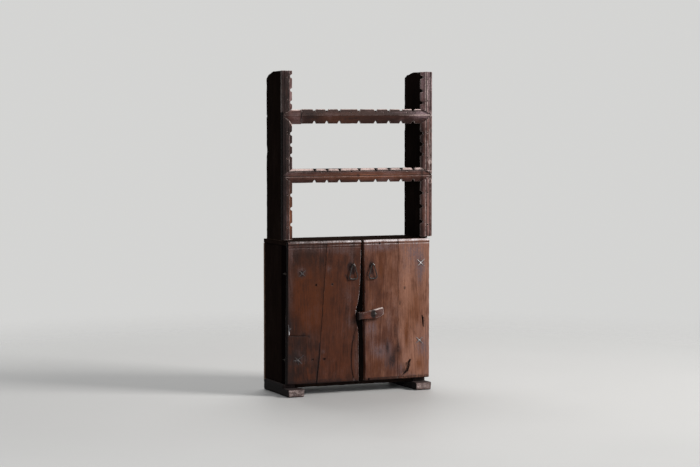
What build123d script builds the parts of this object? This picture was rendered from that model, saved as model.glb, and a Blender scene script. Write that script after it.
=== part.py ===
from build123d import *
import math
import os

# A plank-built trastero: a two-door cabinet on runners with an open rack above.
# Millimetres. X runs to the right, Y to the back, Z up. The origin is on the
# floor, in the middle of the overall width and depth.

# ---- overall
overall_height = 1860.0
carcass_width = 900.0
carcass_depth = 372.0  # door faces to back
carcass_height = 887.0  # floor to lid top
stile_overhang = 20.0  # stiles beyond the carcass, each side
panel_overhang = 5.0  # rack panels beyond the carcass, each side
rack_panel_depth = 268.0

# ---- carcass boards
side_thickness = 28.0
lid_thickness = 24.0
bottom_thickness = 25.0
bottom_setback = 7.0  # front edge behind the side boards' front edges
back_thickness = 16.0
back_joint_gap = 1.5
back_joint_shares = (-0.165, 0.18)  # open joints in the back, as shares of the width
shelf_thickness = 20.0
shelf_top = 480.0
shelf_setback = 34.0
cleat_size = 24.0
cleat_end_gap = 20.0

# ---- runners
runner_width = 100.0
runner_height = 67.0
toe_height = 47.0
toe_projection = 46.0
toe_radius = 9.0
left_runner_overhang = 9.0  # past the side board's outer face
right_runner_inset = 8.0
runner_rebate = 20.0  # seat of the bottom board's end

# ---- doors
door_thickness = 38.0
door_gap = 3.0  # behind the doors
meeting_line = 20.0
seam_gap = 0.8
nosing_radius = 14.0
groove_width = 5.0
groove_depth = 2.5
groove_drop = 7.0  # below the nosing
second_groove_drop = 16.0  # below the first, on the left door
bottom_chamfer = 7.0
bottom_chamfer_depth = 4.2
batten_height = 60.0
batten_thickness = 22.0
batten_clearance = 7.0  # to the side boards and the centre post
upper_batten_share = 0.694  # heights of the battens, as shares of the door's
lower_batten_share = 0.171
post_width = 60.0
post_thickness = 28.0
post_offset = -4.0  # centre of the post from the meeting line
tenon_length = 12.0
tenon_width = 32.0
tenon_thickness = 14.0

edge_hollow = 42.0  # depth of the hollow worn beside the latch, from the meeting line
# Worn meeting edge of the left door: share of the door's height, share of the hollow.
left_edge_shares = ((0.0, 0.54), (0.1, 0.54), (0.2, 0.545), (0.3, 0.57), (0.37, 0.64), (0.42, 0.89))
left_edge_shares += ((0.455, 1.0), (0.49, 0.97), (0.56, 0.64), (0.7, 0.31), (0.85, 0.2), (1.0, 0.14))
# Curved joint of the splice let into that edge, in the same terms.
splice_joint_shares = ((0.0, 1.1), (0.044, 1.4), (0.15, 1.62), (0.256, 1.55), (0.34, 1.21), (0.425, 0.81))
splice_gap = 1.0
left_edge_lean = 10.0  # the left door's hinge edge leans in by this at the top
right_edge_foot = 19.0  # from the meeting line
right_edge_head = 11.0
left_seam_foot = 287.0
left_seam_bend = 262.0
left_seam_head = 220.0
left_seam_bend_share = 0.3  # height of the bend, as a share of the door
left_seam_opening = 4.5  # at the bottom, where the seam has opened
right_seam = 227.0
upper_peg_offset = 50.0  # from the left door's seam
lower_peg_offset = 36.0

# ---- cotter-pin hinges: two linked iron eyes on each pivot
eye_radius = 5.0
eye_wire = 2.0
shank_radius = 2.6
eye_clearance = 2.0
clinch_length = 50.0
clinch_width = 6.0
clinch_thickness = 1.8
clinch_angle = 38.0
side_pin_angle = 65.0
# Share of the door's height, and the pin's reach across the door.
left_hinge_shares = (0.7756, 0.1744)
left_hinge_reaches = (95.0, 67.0)
right_hinge_shares = (0.8268, 0.272)
right_hinge_reaches = (57.0, 65.0)

# ---- pulls
pull_below_top = 140.0  # pivot under the door's top edge
left_pull_offset = 59.0  # from the meeting line
right_pull_offset = 63.0
pull_eye_radius = 7.0
pull_eye_wire = 2.2
pull_eye_standoff = 9.5
drop_wire = 2.5
drop_top_half = 7.0
drop_bottom_half = 23.5
drop_length = 82.0
drop_top_radius = 4.0
drop_bottom_radius = 9.0

# ---- latch
latch_offset = 68.0  # pin from the meeting line
latch_share = 0.4774  # height of its pin, as a share of the door's
latch_tilt = 5.6
latch_long_arm = 107.0
latch_end_slope = 7.0  # the long arm's end leans back by this
latch_short_arm = 57.0
latch_depth = 50.0
latch_thickness = 28.0
latch_pin_radius = 4.0
latch_head_radius = 8.0
latch_head_height = 5.0
running_clearance = 0.06

# ---- rack
panel_thickness = 28.0
rack_shelf_thickness = 22.0
housing_depth = 8.0
upper_rail_top = 1642.0
upper_rail_height = 84.0
upper_ridge_drop = 35.0
lower_rail_top = 1302.0
lower_rail_height = 82.0
lower_ridge_drop = 40.0
rail_lip = 8.0  # rail top above the shelf
stile_width = 66.0
stile_thickness = 31.0
stile_lift = 10.0  # stile ends above the lid, so that the doors pass under
stile_edge = 14.0
stile_bevel = 26.0
stile_band = 19.0
stile_groove = 4.0
bead_rise = 4.0
rail_thickness = 26.0
rail_edge = 12.0
lower_top_bevel = 14.0
lower_bottom_bevel = 26.0
lower_bead = 12.0
mitre_gap = 0.4
notch_width = 24.0
notch_depth = 15.0
notch_floor = 9.0
# Places of the cut notches, as shares of the half opening (rails) and of each
# stile's inner edge, from its lower end.
rail_notches = (-0.66, -0.47, -0.277, 0.027, 0.287, 0.493, 0.688, 0.879)
stile_notches = ((0.27, 0.55, 0.79), (0.3, 0.53, 0.78), (0.17, 0.49, 0.85))
rail_break_share = -0.861
rail_break_gap = 3.0
rail_break_offsets = (6.0, -5.0, 3.0)  # of the torn edge at the rail's top, ridge and foot
rail_end_sag = 3.0
left_corner = (110.0, 43.0)  # worn top back corners: run, drop
right_corner = (122.0, 30.0)
corner_bend_shares = (0.3, 0.45)  # where the worn corner bends, of its run and drop
back_nick = 9.0
back_nick_height = 1602.0

# ---- pegs, nails and dowels
peg_radius = 4.5
peg_clearance = 0.15
rack_peg_radius = 4.0
rack_peg_depth = 26.0
dowel_radius = 6.0
dowel_length = 40.0
dowel_inset = 60.0
nail_radius = 2.0
nail_head_radius = 5.0
nail_head_height = 1.6
nail_length = 42.0
seat_gap = 0.3
cut_margin = 1.0  # how far a cutting shape reaches past the face it cuts

# ---- planes and heights that follow from the sizes above
overall_depth = carcass_depth + toe_projection
door_front = toe_projection - overall_depth / 2
door_back = door_front + door_thickness
carcass_front = door_back + door_gap
carcass_back = overall_depth / 2
frame_back = carcass_back - back_thickness
side_outer = carcass_width / 2
side_inner = side_outer - side_thickness
lid_bottom = carcass_height - lid_thickness
floor_top = runner_height
door_bottom = runner_height
door_top = carcass_height
door_height = door_top - door_bottom
upper_batten_z = door_bottom + upper_batten_share * door_height
lower_batten_z = door_bottom + lower_batten_share * door_height
hinge_y = door_back + door_gap / 2
left_hinge_heights = [door_bottom + share * door_height for share in left_hinge_shares]
right_hinge_heights = [door_bottom + share * door_height for share in right_hinge_shares]
left_runner_x = runner_width / 2 - side_outer - left_runner_overhang
right_runner_x = side_outer - right_runner_inset - runner_width / 2
back_joints = tuple(share * carcass_width for share in back_joint_shares)
left_pull_x = meeting_line - left_pull_offset
right_pull_x = meeting_line + right_pull_offset
pull_height = door_top - pull_below_top
latch_x = meeting_line + latch_offset
latch_height = door_bottom + latch_share * door_height
post_x = meeting_line + post_offset
stile_front = carcass_front - stile_thickness
stile_outer = side_outer + stile_overhang
stile_inner = stile_outer - stile_width
panel_outer = side_outer + panel_overhang
panel_inner = panel_outer - panel_thickness
panel_centre = (panel_outer + panel_inner) / 2
rack_back = carcass_front + rack_panel_depth
stile_bottom = carcass_height + stile_lift
upper_shelf_top = upper_rail_top - rail_lip
lower_shelf_top = lower_rail_top - rail_lip
latch_back = door_front - seat_gap
latch_front = latch_back - latch_thickness


def block(x0, x1, y0, y1, z0, z1):
    """Box between two corners."""
    return Pos((x0 + x1) / 2, (y0 + y1) / 2, (z0 + z1) / 2) * Box(x1 - x0, y1 - y0, z1 - z0)


def plate_xz(points, y0, y1):
    """Polygon of (x, z) points, with its thickness from y0 to y1."""
    edge = Polyline([(x, y0, z) for x, z in points], close=True)
    return extrude(make_face(edge), amount=y1 - y0, dir=(0, 1, 0))


def bar_along_x(points, x0, x1):
    """Polygon of (y, z) points, drawn out from x0 to x1."""
    edge = Polyline([(x0, y, z) for y, z in points], close=True)
    return extrude(make_face(edge), amount=x1 - x0, dir=(1, 0, 0))


def rod(start, end, radius):
    """Round bar between two points."""
    run = Vector(*end) - Vector(*start)
    upright = (Align.CENTER, Align.CENTER, Align.MIN)
    return Plane(origin=start, z_dir=run) * Cylinder(radius, run.length, align=upright)


def ring(centre, axis, radius, wire):
    return Plane(origin=centre, z_dir=axis) * Torus(radius, wire)


def flipped(solid):
    """The same solid on the other side of the middle plane."""
    return mirror(solid, about=Plane.YZ)


def save(name, *solids):
    """One STEP file for a node of one or more separate solids."""
    pieces = [piece for solid in solids for piece in solid.solids()]
    node = pieces[0] if len(pieces) == 1 else Compound(children=pieces)
    export_step(node, f"parts/{name}.step")


# ---- nails
def nail(x, y, z, clearance=0.0):
    """Nail driven forwards from the back surface at y, its head level with that surface."""
    under_head = y - nail_head_height - clearance
    end = y - nail_length - clearance
    head = rod((x, y, z), (x, under_head, z), nail_head_radius + clearance)
    return head + rod((x, under_head, z), (x, end, z), nail_radius + clearance)


# ---- hinges
def pin_path(side, reach):
    """Unit direction of a door pin, from the pivot to its clinch on the door face."""
    return Vector(-side * reach, door_front - hinge_y, 0).normalized()


def side_pin_path(side):
    angle = math.radians(side_pin_angle)
    return Vector(-side * math.cos(angle), math.sin(angle), 0)


def clinch(length, angle):
    """Flattened tail, pointed at both ends, drawn in X and Z round the origin."""
    half = length / 2
    shoulder = half * 0.4
    width = clinch_width / 2
    points = [(-half, 0), (-shoulder, width), (shoulder, width), (half, 0)]
    points += [(shoulder, -width), (-shoulder, -width)]
    tail = plate_xz(points, -clinch_thickness, 0)
    return Rot(0, angle, 0) * tail


def door_pin(side, height, reach):
    """Upright eye on the pivot, a shank through the door, and two crossed tails."""
    pivot = Vector(side * side_outer, hinge_y, height)
    way = pin_path(side, reach)
    across = way.cross(Vector(0, 0, 1))
    eye = ring(pivot + way * eye_radius, across, eye_radius, eye_wire)
    exit_point = Vector(pivot.X - side * reach, door_front, height)
    shank = rod(pivot + way * 2 * eye_radius, exit_point + way * shank_radius, shank_radius)
    face = block(-side_outer, side_outer, door_front - clinch_thickness, carcass_back, 0, overall_height)
    tails = clinch(clinch_length, clinch_angle) + clinch(clinch_length * 0.9, -clinch_angle)
    return eye + (shank & face) + Pos(exit_point.X, door_front, height) * tails


def side_pin(side, height):
    """Level eye round the pivot, and a shank clinched inside the side board."""
    pivot = Vector(side * side_outer, hinge_y, height)
    way = side_pin_path(side)
    run = side_thickness / math.cos(math.radians(side_pin_angle))
    exit_point = pivot + way * run
    eye = ring(pivot, Vector(0, 0, 1), eye_radius, eye_wire)
    shank = rod(pivot + way * eye_radius, exit_point, shank_radius)
    inner_face = side * side_inner
    half, width = clinch_length / 2, clinch_width / 2
    tail = block(-width, width, 0, clinch_thickness, -half, half)
    tail = Pos(inner_face, exit_point.Y, height) * Rot(0, 0, side * 90) * tail
    board = block(side_inner, side_outer + eye_radius * 2, hinge_y - eye_radius, carcass_back, 0, overall_height)
    shank = shank & (board if side > 0 else flipped(board))
    return eye + shank + tail


def door_pin_room(side, height, reach):
    """Pocket for both eyes in the door's back arris, and the pin's hole."""
    pivot = Vector(side * side_outer, hinge_y, height)
    way = pin_path(side, reach)
    half = eye_radius + eye_wire + eye_clearance
    pocket = rod(pivot - Vector(0, 0, half), pivot + Vector(0, 0, half), 2 * eye_radius + eye_wire + cut_margin)
    hole = rod(pivot, pivot + way * (reach * 1.5), shank_radius + seat_gap)
    return pocket + hole


def side_pin_room(side, height):
    pivot = Vector(side * side_outer, hinge_y, height)
    way = side_pin_path(side)
    half = eye_radius + eye_wire + eye_clearance
    pocket = rod(pivot - Vector(0, 0, half), pivot + Vector(0, 0, half), half)
    hole = rod(pivot, pivot + way * (side_thickness * 3), shank_radius + seat_gap)
    return pocket + hole


# ---- runners and carcass
def runner(centre_x, inner):
    """Sledge foot: low rounded toe, step up under the side board, rebate for the floor.

    inner is +1 where the cabinet's middle lies towards +X, else -1.
    """
    toe_front = -overall_depth / 2
    corner = toe_radius * (1 - math.sqrt(0.5))
    x0 = centre_x - runner_width / 2
    start = (x0, toe_front, 0)
    outline = Polyline(
        [
            (x0, toe_front + toe_radius, toe_height),
            (x0, carcass_front, toe_height),
            (x0, carcass_front, runner_height),
            (x0, frame_back, runner_height),
            (x0, frame_back, 0),
            start,
            (x0, toe_front, toe_height - toe_radius),
        ]
    )
    nose = ThreePointArc(
        (x0, toe_front, toe_height - toe_radius),
        (x0, toe_front + corner, toe_height - corner),
        (x0, toe_front + toe_radius, toe_height),
    )
    body = extrude(make_face([outline, nose]), amount=runner_width, dir=(1, 0, 0))
    inner_face = centre_x + inner * runner_width / 2
    seat = sorted((inner_face, inner_face - inner * runner_rebate))
    rebate = block(seat[0], seat[1], carcass_front, frame_back, runner_height - bottom_thickness, runner_height)
    return body - rebate


left_runner = runner(left_runner_x, 1)
right_runner = runner(right_runner_x, -1)
floor_left = left_runner_x + runner_width / 2 - runner_rebate
floor_right = right_runner_x - runner_width / 2 + runner_rebate
floor_front = carcass_front + bottom_setback


def post_tenon(z0, z1, clearance):
    return block(
        post_x - tenon_width / 2 - clearance,
        post_x + tenon_width / 2 + clearance,
        post_y - tenon_thickness / 2 - clearance,
        post_y + tenon_thickness / 2 + clearance,
        z0,
        z1,
    )


post_y = carcass_front + post_thickness / 2
centre_post = block(
    post_x - post_width / 2,
    post_x + post_width / 2,
    carcass_front,
    carcass_front + post_thickness,
    floor_top,
    lid_bottom,
)
centre_post += post_tenon(floor_top - tenon_length, lid_bottom + tenon_length, 0)

floor_bottom = runner_height - bottom_thickness
bottom_board = block(floor_left + seat_gap, floor_right - seat_gap, floor_front, frame_back, floor_bottom, floor_top)
bottom_board -= post_tenon(floor_top - tenon_length - seat_gap, floor_top, peg_clearance)

lid = block(-side_outer, side_outer, carcass_front, carcass_back, lid_bottom, carcass_height)
lid -= post_tenon(lid_bottom, lid_bottom + tenon_length + seat_gap, peg_clearance)


def side_board(side, hinge_heights):
    edges = sorted((side * side_inner, side * side_outer))
    board = block(edges[0], edges[1], carcass_front, frame_back, runner_height, lid_bottom)
    for height in hinge_heights:
        board -= side_pin_room(side, height)
    return board


left_side = side_board(-1, left_hinge_heights)
right_side = side_board(1, right_hinge_heights)

shelf = block(
    -side_inner + seat_gap,
    side_inner - seat_gap,
    carcass_front + shelf_setback,
    frame_back,
    shelf_top - shelf_thickness,
    shelf_top,
)


def cleat(side):
    """Strip under the shelf's end, with a chamfered front."""
    x0, x1 = sorted((side * side_inner, side * (side_inner - cleat_size)))
    y0 = carcass_front + shelf_setback + cleat_end_gap
    z1 = shelf_top - shelf_thickness
    points = (
        (y0, z1),
        (frame_back - cleat_end_gap, z1),
        (frame_back - cleat_end_gap, z1 - cleat_size),
        (y0 + cleat_size / 2, z1 - cleat_size),
        (y0, z1 - cleat_size / 2),
    )
    return bar_along_x(points, x0, x1)


# ---- back: three upright boards nailed over the back edges
back_edges = (-side_outer, *back_joints, side_outer)
back_nail_rows = (runner_height - bottom_thickness / 2, shelf_top - shelf_thickness / 2)
back_nail_columns = []
for left_end, right_end in zip(back_edges, back_edges[1:]):
    inset = side_thickness / 2
    back_nail_columns += [max(left_end, -side_outer) + inset, min(right_end, side_outer) - inset]
back_nail_places = [(x, z) for x in back_nail_columns for z in back_nail_rows if floor_left < x < floor_right]
side_nail_heights = [
    runner_height + (lid_bottom - runner_height) * share for share in (0.06, 0.35, 0.65, 0.94)
]
back_nail_places += [(side * (side_outer - side_thickness / 2), z) for side in (-1, 1) for z in side_nail_heights]
back_nails = [nail(x, carcass_back, z) for x, z in back_nail_places]
back_nail_room = [nail(x, carcass_back, z, peg_clearance) for x, z in back_nail_places]


def back_board(x0, x1):
    half_gap = back_joint_gap / 2
    left_gap = half_gap if x0 in back_joints else 0
    right_gap = half_gap if x1 in back_joints else 0
    z0 = runner_height - bottom_thickness
    board = block(x0 + left_gap, x1 - right_gap, frame_back, carcass_back, z0, lid_bottom)
    for (x, _), hole in zip(back_nail_places, back_nail_room):
        if x0 < x < x1:
            board -= hole
    return board


back_boards = [back_board(x0, x1) for x0, x1 in zip(back_edges, back_edges[1:])]
for hole in back_nail_room:
    left_side -= hole
    right_side -= hole
    shelf -= hole
    bottom_board -= hole


# ---- lid pegs, into the side boards' top edges
lid_peg_places = [
    (side * (side_outer - side_thickness / 2), carcass_front + (carcass_back - carcass_front) * share)
    for side in (-1, 1)
    for share in (0.3, 0.56, 0.85)
]
lid_peg_end = lid_bottom - rack_peg_depth
lid_pegs = [rod((x, y, carcass_height), (x, y, lid_peg_end), peg_radius) for x, y in lid_peg_places]
for x, y in lid_peg_places:
    hole = rod((x, y, carcass_height), (x, y, lid_peg_end - seat_gap), peg_radius + peg_clearance)
    lid -= hole
    left_side -= hole
    right_side -= hole


# ---- doors
def edge_points(edge):
    """Turn shares of the door's height and of the hollow into (x, z) points."""
    return [(meeting_line - worn * edge_hollow, door_bottom + share * door_height) for share, worn in edge]


def door_slab(x0, x1, groove_drops):
    """Door-thick slab: nosed top edge, scratched grooves under it, eased bottom edge."""
    roll = nosing_radius * (1 - math.sqrt(0.5))
    points = [
        (x0, door_front, door_top - nosing_radius),
    ]
    for drop in groove_drops:
        points += [
            (x0, door_front, door_top - drop + groove_width / 2),
            (x0, door_front + groove_depth, door_top - drop),
            (x0, door_front, door_top - drop - groove_width / 2),
        ]
    points += [
        (x0, door_front, door_bottom + bottom_chamfer),
        (x0, door_front + bottom_chamfer_depth, door_bottom),
        (x0, door_back, door_bottom),
        (x0, door_back, door_top),
        (x0, door_front + nosing_radius, door_top),
    ]
    nose = ThreePointArc(points[-1], (x0, door_front + roll, door_top - roll), points[0])
    return extrude(make_face([Polyline(points), nose]), amount=x1 - x0, dir=(1, 0, 0))


def region_beyond(curve, x_far):
    """Plate covering everything from a rising curve across to x_far."""
    y0 = door_front - door_thickness
    line = Spline([(x, y0, z) for x, z in curve])
    low, high = curve[0], curve[-1]
    corners = (high, (x_far, high[1]), (x_far, low[1]), low)
    frame = Polyline([(x, y0, z) for x, z in corners])
    return extrude(make_face([line, frame]), amount=3 * door_thickness, dir=(0, 1, 0))


first_groove = nosing_radius + groove_drop
left_groove_drops = (first_groove, first_groove + second_groove_drop)
right_groove_drops = (first_groove,)
left_slab = door_slab(-side_outer, meeting_line, left_groove_drops)
left_slab &= region_beyond(edge_points(left_edge_shares), -side_outer - cut_margin)
left_corners = [(-side_outer, door_bottom), (-side_outer + left_edge_lean, door_top)]
left_corners += [(meeting_line, door_top), (meeting_line, door_bottom)]
left_slab &= plate_xz(left_corners, door_front - cut_margin, door_back + cut_margin)
seam_foot = (meeting_line - left_seam_foot, door_bottom)
seam_bend = (meeting_line - left_seam_bend, door_bottom + left_seam_bend_share * door_height)
seam_head = (meeting_line - left_seam_head, door_top)
half_gap = seam_gap / 2


def seam_side(shift_foot, shift, x_far):
    """Half of the door on one side of the slanted seam."""
    points = [
        (seam_foot[0] + shift_foot, seam_foot[1]),
        (seam_bend[0] + shift, seam_bend[1]),
        (seam_head[0] + shift, seam_head[1]),
        (x_far, seam_head[1]),
        (x_far, seam_foot[1]),
    ]
    return plate_xz(points, door_front - cut_margin, door_back + cut_margin)


splice_line = edge_points(splice_joint_shares)
splice_side = region_beyond(splice_line, meeting_line + cut_margin)
left_outer_board = left_slab & seam_side(-left_seam_opening / 2, -half_gap, -side_outer - cut_margin)
left_inner_board = left_slab & seam_side(left_seam_opening / 2, half_gap, meeting_line + cut_margin)
left_splice = left_inner_board & splice_side
left_inner_board -= Pos(-splice_gap, 0, 0) * splice_side

right_slab = door_slab(0, side_outer, right_groove_drops)
right_foot = (meeting_line + right_edge_foot, door_bottom)
right_head = (meeting_line + right_edge_head, door_top)
right_corners = [right_foot, right_head, (side_outer, door_top), (side_outer, door_bottom)]
right_slab &= plate_xz(right_corners, door_front - cut_margin, door_back + cut_margin)
seam_x = meeting_line + right_seam
right_inner_board = right_slab & block(0, seam_x - half_gap, door_front, door_back, door_bottom, door_top)
right_outer_board = right_slab & block(seam_x + half_gap, side_outer, door_front, door_back, door_bottom, door_top)


def batten(x0, x1, z):
    """Back batten with chamfered ends."""
    y0, y1 = door_back, door_back + batten_thickness
    edge = Polyline(
        [(x0, y0, z), (x1, y0, z), (x1, y1 - batten_thickness / 2, z), (x1 - batten_thickness, y1, z)]
        + [(x0 + batten_thickness, y1, z), (x0, y1 - batten_thickness / 2, z)],
        close=True,
    )
    return Pos(0, 0, -batten_height / 2) * extrude(make_face(edge), amount=batten_height, dir=(0, 0, 1))


left_batten_span = (-side_inner + batten_clearance, post_x - post_width / 2 - batten_clearance)
right_batten_span = (post_x + post_width / 2 + batten_clearance, side_inner - batten_clearance)
left_battens = [batten(*left_batten_span, z) for z in (upper_batten_z, lower_batten_z)]
right_battens = [batten(*right_batten_span, z) for z in (upper_batten_z, lower_batten_z)]


def seam_x_at(z):
    """The left seam's x at a height, between its foot, bend and head."""
    low, high = (seam_foot, seam_bend) if z < seam_bend[1] else (seam_bend, seam_head)
    return low[0] + (high[0] - low[0]) * (z - low[1]) / (high[1] - low[1])


# Four through pegs, a pair on each batten, one each side of the seam.
left_peg_places = []
for z, offset in ((upper_batten_z, upper_peg_offset), (lower_batten_z, lower_peg_offset)):
    left_peg_places += [(seam_x_at(z) - offset, z), (seam_x_at(z) + offset, z)]
left_pegs = []
for x, z in left_peg_places:
    ends = ((x, door_front, z), (x, door_back + batten_thickness, z))
    left_pegs.append(rod(*ends, peg_radius))
    hole = rod(*ends, peg_radius + peg_clearance)
    left_outer_board -= hole
    left_inner_board -= hole
    left_battens = [piece - hole for piece in left_battens]

# The right door's battens are nailed from behind, so that nothing shows in front.
right_nail_shares = (0.1, 0.42, 0.66, 0.92)
right_nail_places = [
    (right_batten_span[0] + share * (right_batten_span[1] - right_batten_span[0]), z)
    for share in right_nail_shares
    for z in (upper_batten_z, lower_batten_z)
]
right_nails = []
for x, z in right_nail_places:
    batten_face = door_back + batten_thickness
    right_nails.append(nail(x, batten_face, z))
    hole = nail(x, batten_face, z, peg_clearance)
    right_outer_board -= hole
    right_inner_board -= hole
    right_battens = [piece - hole for piece in right_battens]

for height, reach in zip(left_hinge_heights, left_hinge_reaches):
    left_outer_board -= door_pin_room(-1, height, reach)
for height, reach in zip(right_hinge_heights, right_hinge_reaches):
    right_outer_board -= door_pin_room(1, height, reach)


# ---- pulls: an eye through the door, and a drop that hangs in it
def pull_eye(x):
    centre = (x, door_front - pull_eye_standoff, pull_height)
    eye = ring(centre, (1, 0, 0), pull_eye_radius, pull_eye_wire)
    shank = rod((x, centre[1] + pull_eye_radius, pull_height), (x, door_back, pull_height), shank_radius)
    tail = Pos(x, door_back + clinch_thickness, pull_height) * clinch(clinch_length * 0.7, 90 - clinch_angle / 3)
    return eye + shank + tail


def pull_drop(x):
    """Bent rod closed into a bell shape; its short top bar lies in the eye."""
    y = door_front - pull_eye_standoff
    z = pull_height - (pull_eye_radius - pull_eye_wire - drop_wire - seat_gap)
    shoulder = (x + drop_top_half, y, z)
    foot = (x + drop_bottom_half, y, z - drop_length)
    end = (x, y, z - drop_length)
    path = FilletPolyline((x, y, z), shoulder, foot, end, radius=[drop_top_radius, drop_bottom_radius])
    section = Plane(origin=path @ 0, z_dir=path % 0) * Circle(drop_wire)
    half = sweep(section, path=path)
    return half + mirror(half, about=Plane.YZ.offset(x))


for x in (left_pull_x, right_pull_x):
    hole = rod((x, door_front, pull_height), (x, door_back, pull_height), shank_radius + seat_gap)
    left_inner_board -= hole
    right_inner_board -= hole


# ---- latch: a wooden turn-button on an iron pin
def latch_bar():
    top_edge = ((latch_end_slope - latch_long_arm, 0.45), (-latch_long_arm * 0.45, 0.4))
    top_edge += ((0, 0.47), (latch_short_arm, 0.6))
    low_edge = ((latch_short_arm, -0.16), (latch_short_arm * 0.6, -0.42), (-latch_long_arm * 0.2, -0.53))
    low_edge += ((-latch_long_arm, -0.5),)
    top = [(u, latch_back, v * latch_depth) for u, v in top_edge]
    low = [(u, latch_back, v * latch_depth) for u, v in low_edge]
    edges = [Spline(top), Line(top[-1], low[0]), Spline(low), Line(low[-1], top[0])]
    bar = extrude(make_face(edges), amount=latch_thickness, dir=(0, -1, 0))
    bar = chamfer(bar.edges().group_by(Axis.Y)[0], latch_thickness / 9)
    bore = rod((0, latch_back, 0), (0, latch_front, 0), latch_pin_radius + running_clearance)
    return Pos(latch_x, 0, latch_height) * Rot(0, -latch_tilt, 0) * (bar - bore)


def latch_pin():
    """Clinched nail with a domed head, on which the latch turns."""
    under_head = latch_front - seat_gap
    back = door_back + clinch_thickness
    shank = rod((latch_x, under_head, latch_height), (latch_x, door_back, latch_height), latch_pin_radius)
    dome_radius = (latch_head_radius**2 + latch_head_height**2) / (2 * latch_head_height)
    dome = Pos(latch_x, under_head - latch_head_height + dome_radius, latch_height) * Sphere(dome_radius)
    low, high = latch_height - dome_radius, latch_height + dome_radius
    dome &= block(latch_x - dome_radius, latch_x + dome_radius, under_head - latch_thickness, under_head, low, high)
    tail = Pos(latch_x, back, latch_height) * clinch(clinch_length * 0.7, 90 + clinch_angle / 2)
    return shank + dome + tail


right_inner_board -= rod(
    (latch_x, door_front, latch_height), (latch_x, door_back, latch_height), latch_pin_radius + seat_gap
)


# ---- rack
def rack_panel(side, corner, nicked):
    """Side of the rack, its top back corner worn away."""
    run, drop = corner
    bend_run, bend_drop = corner_bend_shares
    x0, x1 = sorted((side * panel_inner, side * panel_outer))
    points = [
        (carcass_front, carcass_height),
        (carcass_front, overall_height),
        (rack_back - run, overall_height),
        (rack_back - run * bend_run, overall_height - drop * bend_drop),
        (rack_back, overall_height - drop),
    ]
    if nicked:
        points += [
            (rack_back, back_nick_height + back_nick),
            (rack_back - back_nick, back_nick_height),
            (rack_back, back_nick_height - back_nick),
        ]
    points.append((rack_back, carcass_height))
    panel = bar_along_x(points, x0, x1)
    for top in (upper_shelf_top, lower_shelf_top):
        panel -= rack_shelf(top, seat_gap / 2)
    return panel


def rack_shelf(top, clearance):
    half = panel_inner + housing_depth
    return block(
        -half - clearance,
        half + clearance,
        carcass_front - clearance,
        rack_back + clearance,
        top - rack_shelf_thickness - clearance,
        top + clearance,
    )


def notch(x, z, inward_x, inward_z):
    """Tapered bite through a moulding's thin edge, cut from (x, z) inwards."""
    along_x, along_z = -inward_z, inward_x
    mouth, floor, past = notch_width / 2, notch_floor / 2, -cut_margin
    points = [(-mouth, past), (mouth, past), (mouth, 0), (floor, notch_depth)]
    points += [(-floor, notch_depth), (-mouth, 0)]
    places = [(x + a * along_x + d * inward_x, z + a * along_z + d * inward_z) for a, d in points]
    return plate_xz(places, stile_front - cut_margin, carcass_front + cut_margin)


def stile_moulding():
    """Full-height right stile: notched bevel, flat band and outer bead."""
    z0 = stile_bottom
    back = carcass_front

    def at(across, depth):
        return (stile_inner + across, back - depth, z0)

    band_start = stile_bevel + stile_groove
    band_end = band_start + stile_band
    bead_start = band_end + stile_groove / 2
    low = stile_thickness - bead_rise
    points = [
        at(stile_width, low),
        at(stile_width, 0),
        at(0, 0),
        at(0, stile_edge),
        at(stile_bevel, stile_thickness),
        at(stile_bevel + stile_groove / 2, stile_thickness - stile_groove * 0.7),
        at(band_start, stile_thickness),
        at(band_end, stile_thickness),
        at(bead_start, low),
    ]
    bead = ThreePointArc(points[-1], at((bead_start + stile_width) / 2, stile_thickness), points[0])
    face = make_face([Polyline(points), bead])
    return extrude(face, amount=overall_height - stile_bottom, dir=(0, 0, 1))


def rail_section(top, height, ridge_drop, moulded):
    """(y, z) outline of a rail: a plain ridge, or a bevelled and beaded face."""
    bottom = top - height
    back = carcass_front
    face = back - rail_thickness
    thin = back - rail_edge
    if not moulded:
        return [(back, bottom), (thin, bottom), (face, top - ridge_drop), (thin, top), (back, top)]
    bevel_top = top - lower_top_bevel
    bevel_foot = bottom + lower_bottom_bevel
    bead_top = bevel_foot + lower_bead
    step = face + groove_depth
    return [
        (back, bottom),
        (thin, bottom),
        (step, bevel_foot),
        (face, bevel_foot + lower_bead / 3),
        (face, bead_top - lower_bead / 3),
        (step, bead_top),
        (step, bevel_top - groove_width),
        (step + groove_depth, bevel_top - groove_width / 2),
        (step, bevel_top),
        (thin, top),
        (back, top),
    ]


def rail(top, height, ridge_drop, moulded):
    """Rail with pointed ends, which lie between the stiles' mitres, and notched edges."""
    bottom = top - height
    ridge = top - ridge_drop
    body = bar_along_x(rail_section(top, height, ridge_drop, moulded), -stile_outer, stile_outer)
    outline = [(-stile_inner, top), (stile_inner, top), (stile_outer, ridge), (stile_inner, bottom)]
    outline += [(-stile_inner, bottom), (-stile_outer, ridge)]
    body &= plate_xz(outline, stile_front - cut_margin, carcass_front)
    for share in rail_notches:
        body -= notch(share * stile_inner, top, 0, -1)
        body -= notch(share * stile_inner, bottom, 0, 1)
    return body


stile_top = overall_height
upper_ridge = upper_rail_top - upper_ridge_drop
lower_ridge = lower_rail_top - lower_ridge_drop
upper_bottom = upper_rail_top - upper_rail_height
lower_bottom = lower_rail_top - lower_rail_height
# For each stile length: inner and outer height of its lower end, then of its upper end.
stile_spans = (
    (stile_bottom, stile_bottom, lower_bottom - mitre_gap, lower_ridge - mitre_gap),
    (lower_rail_top + mitre_gap, lower_ridge + mitre_gap, upper_bottom - mitre_gap, upper_ridge - mitre_gap),
    (upper_rail_top + mitre_gap, upper_ridge + mitre_gap, stile_top, stile_top),
)


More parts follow.
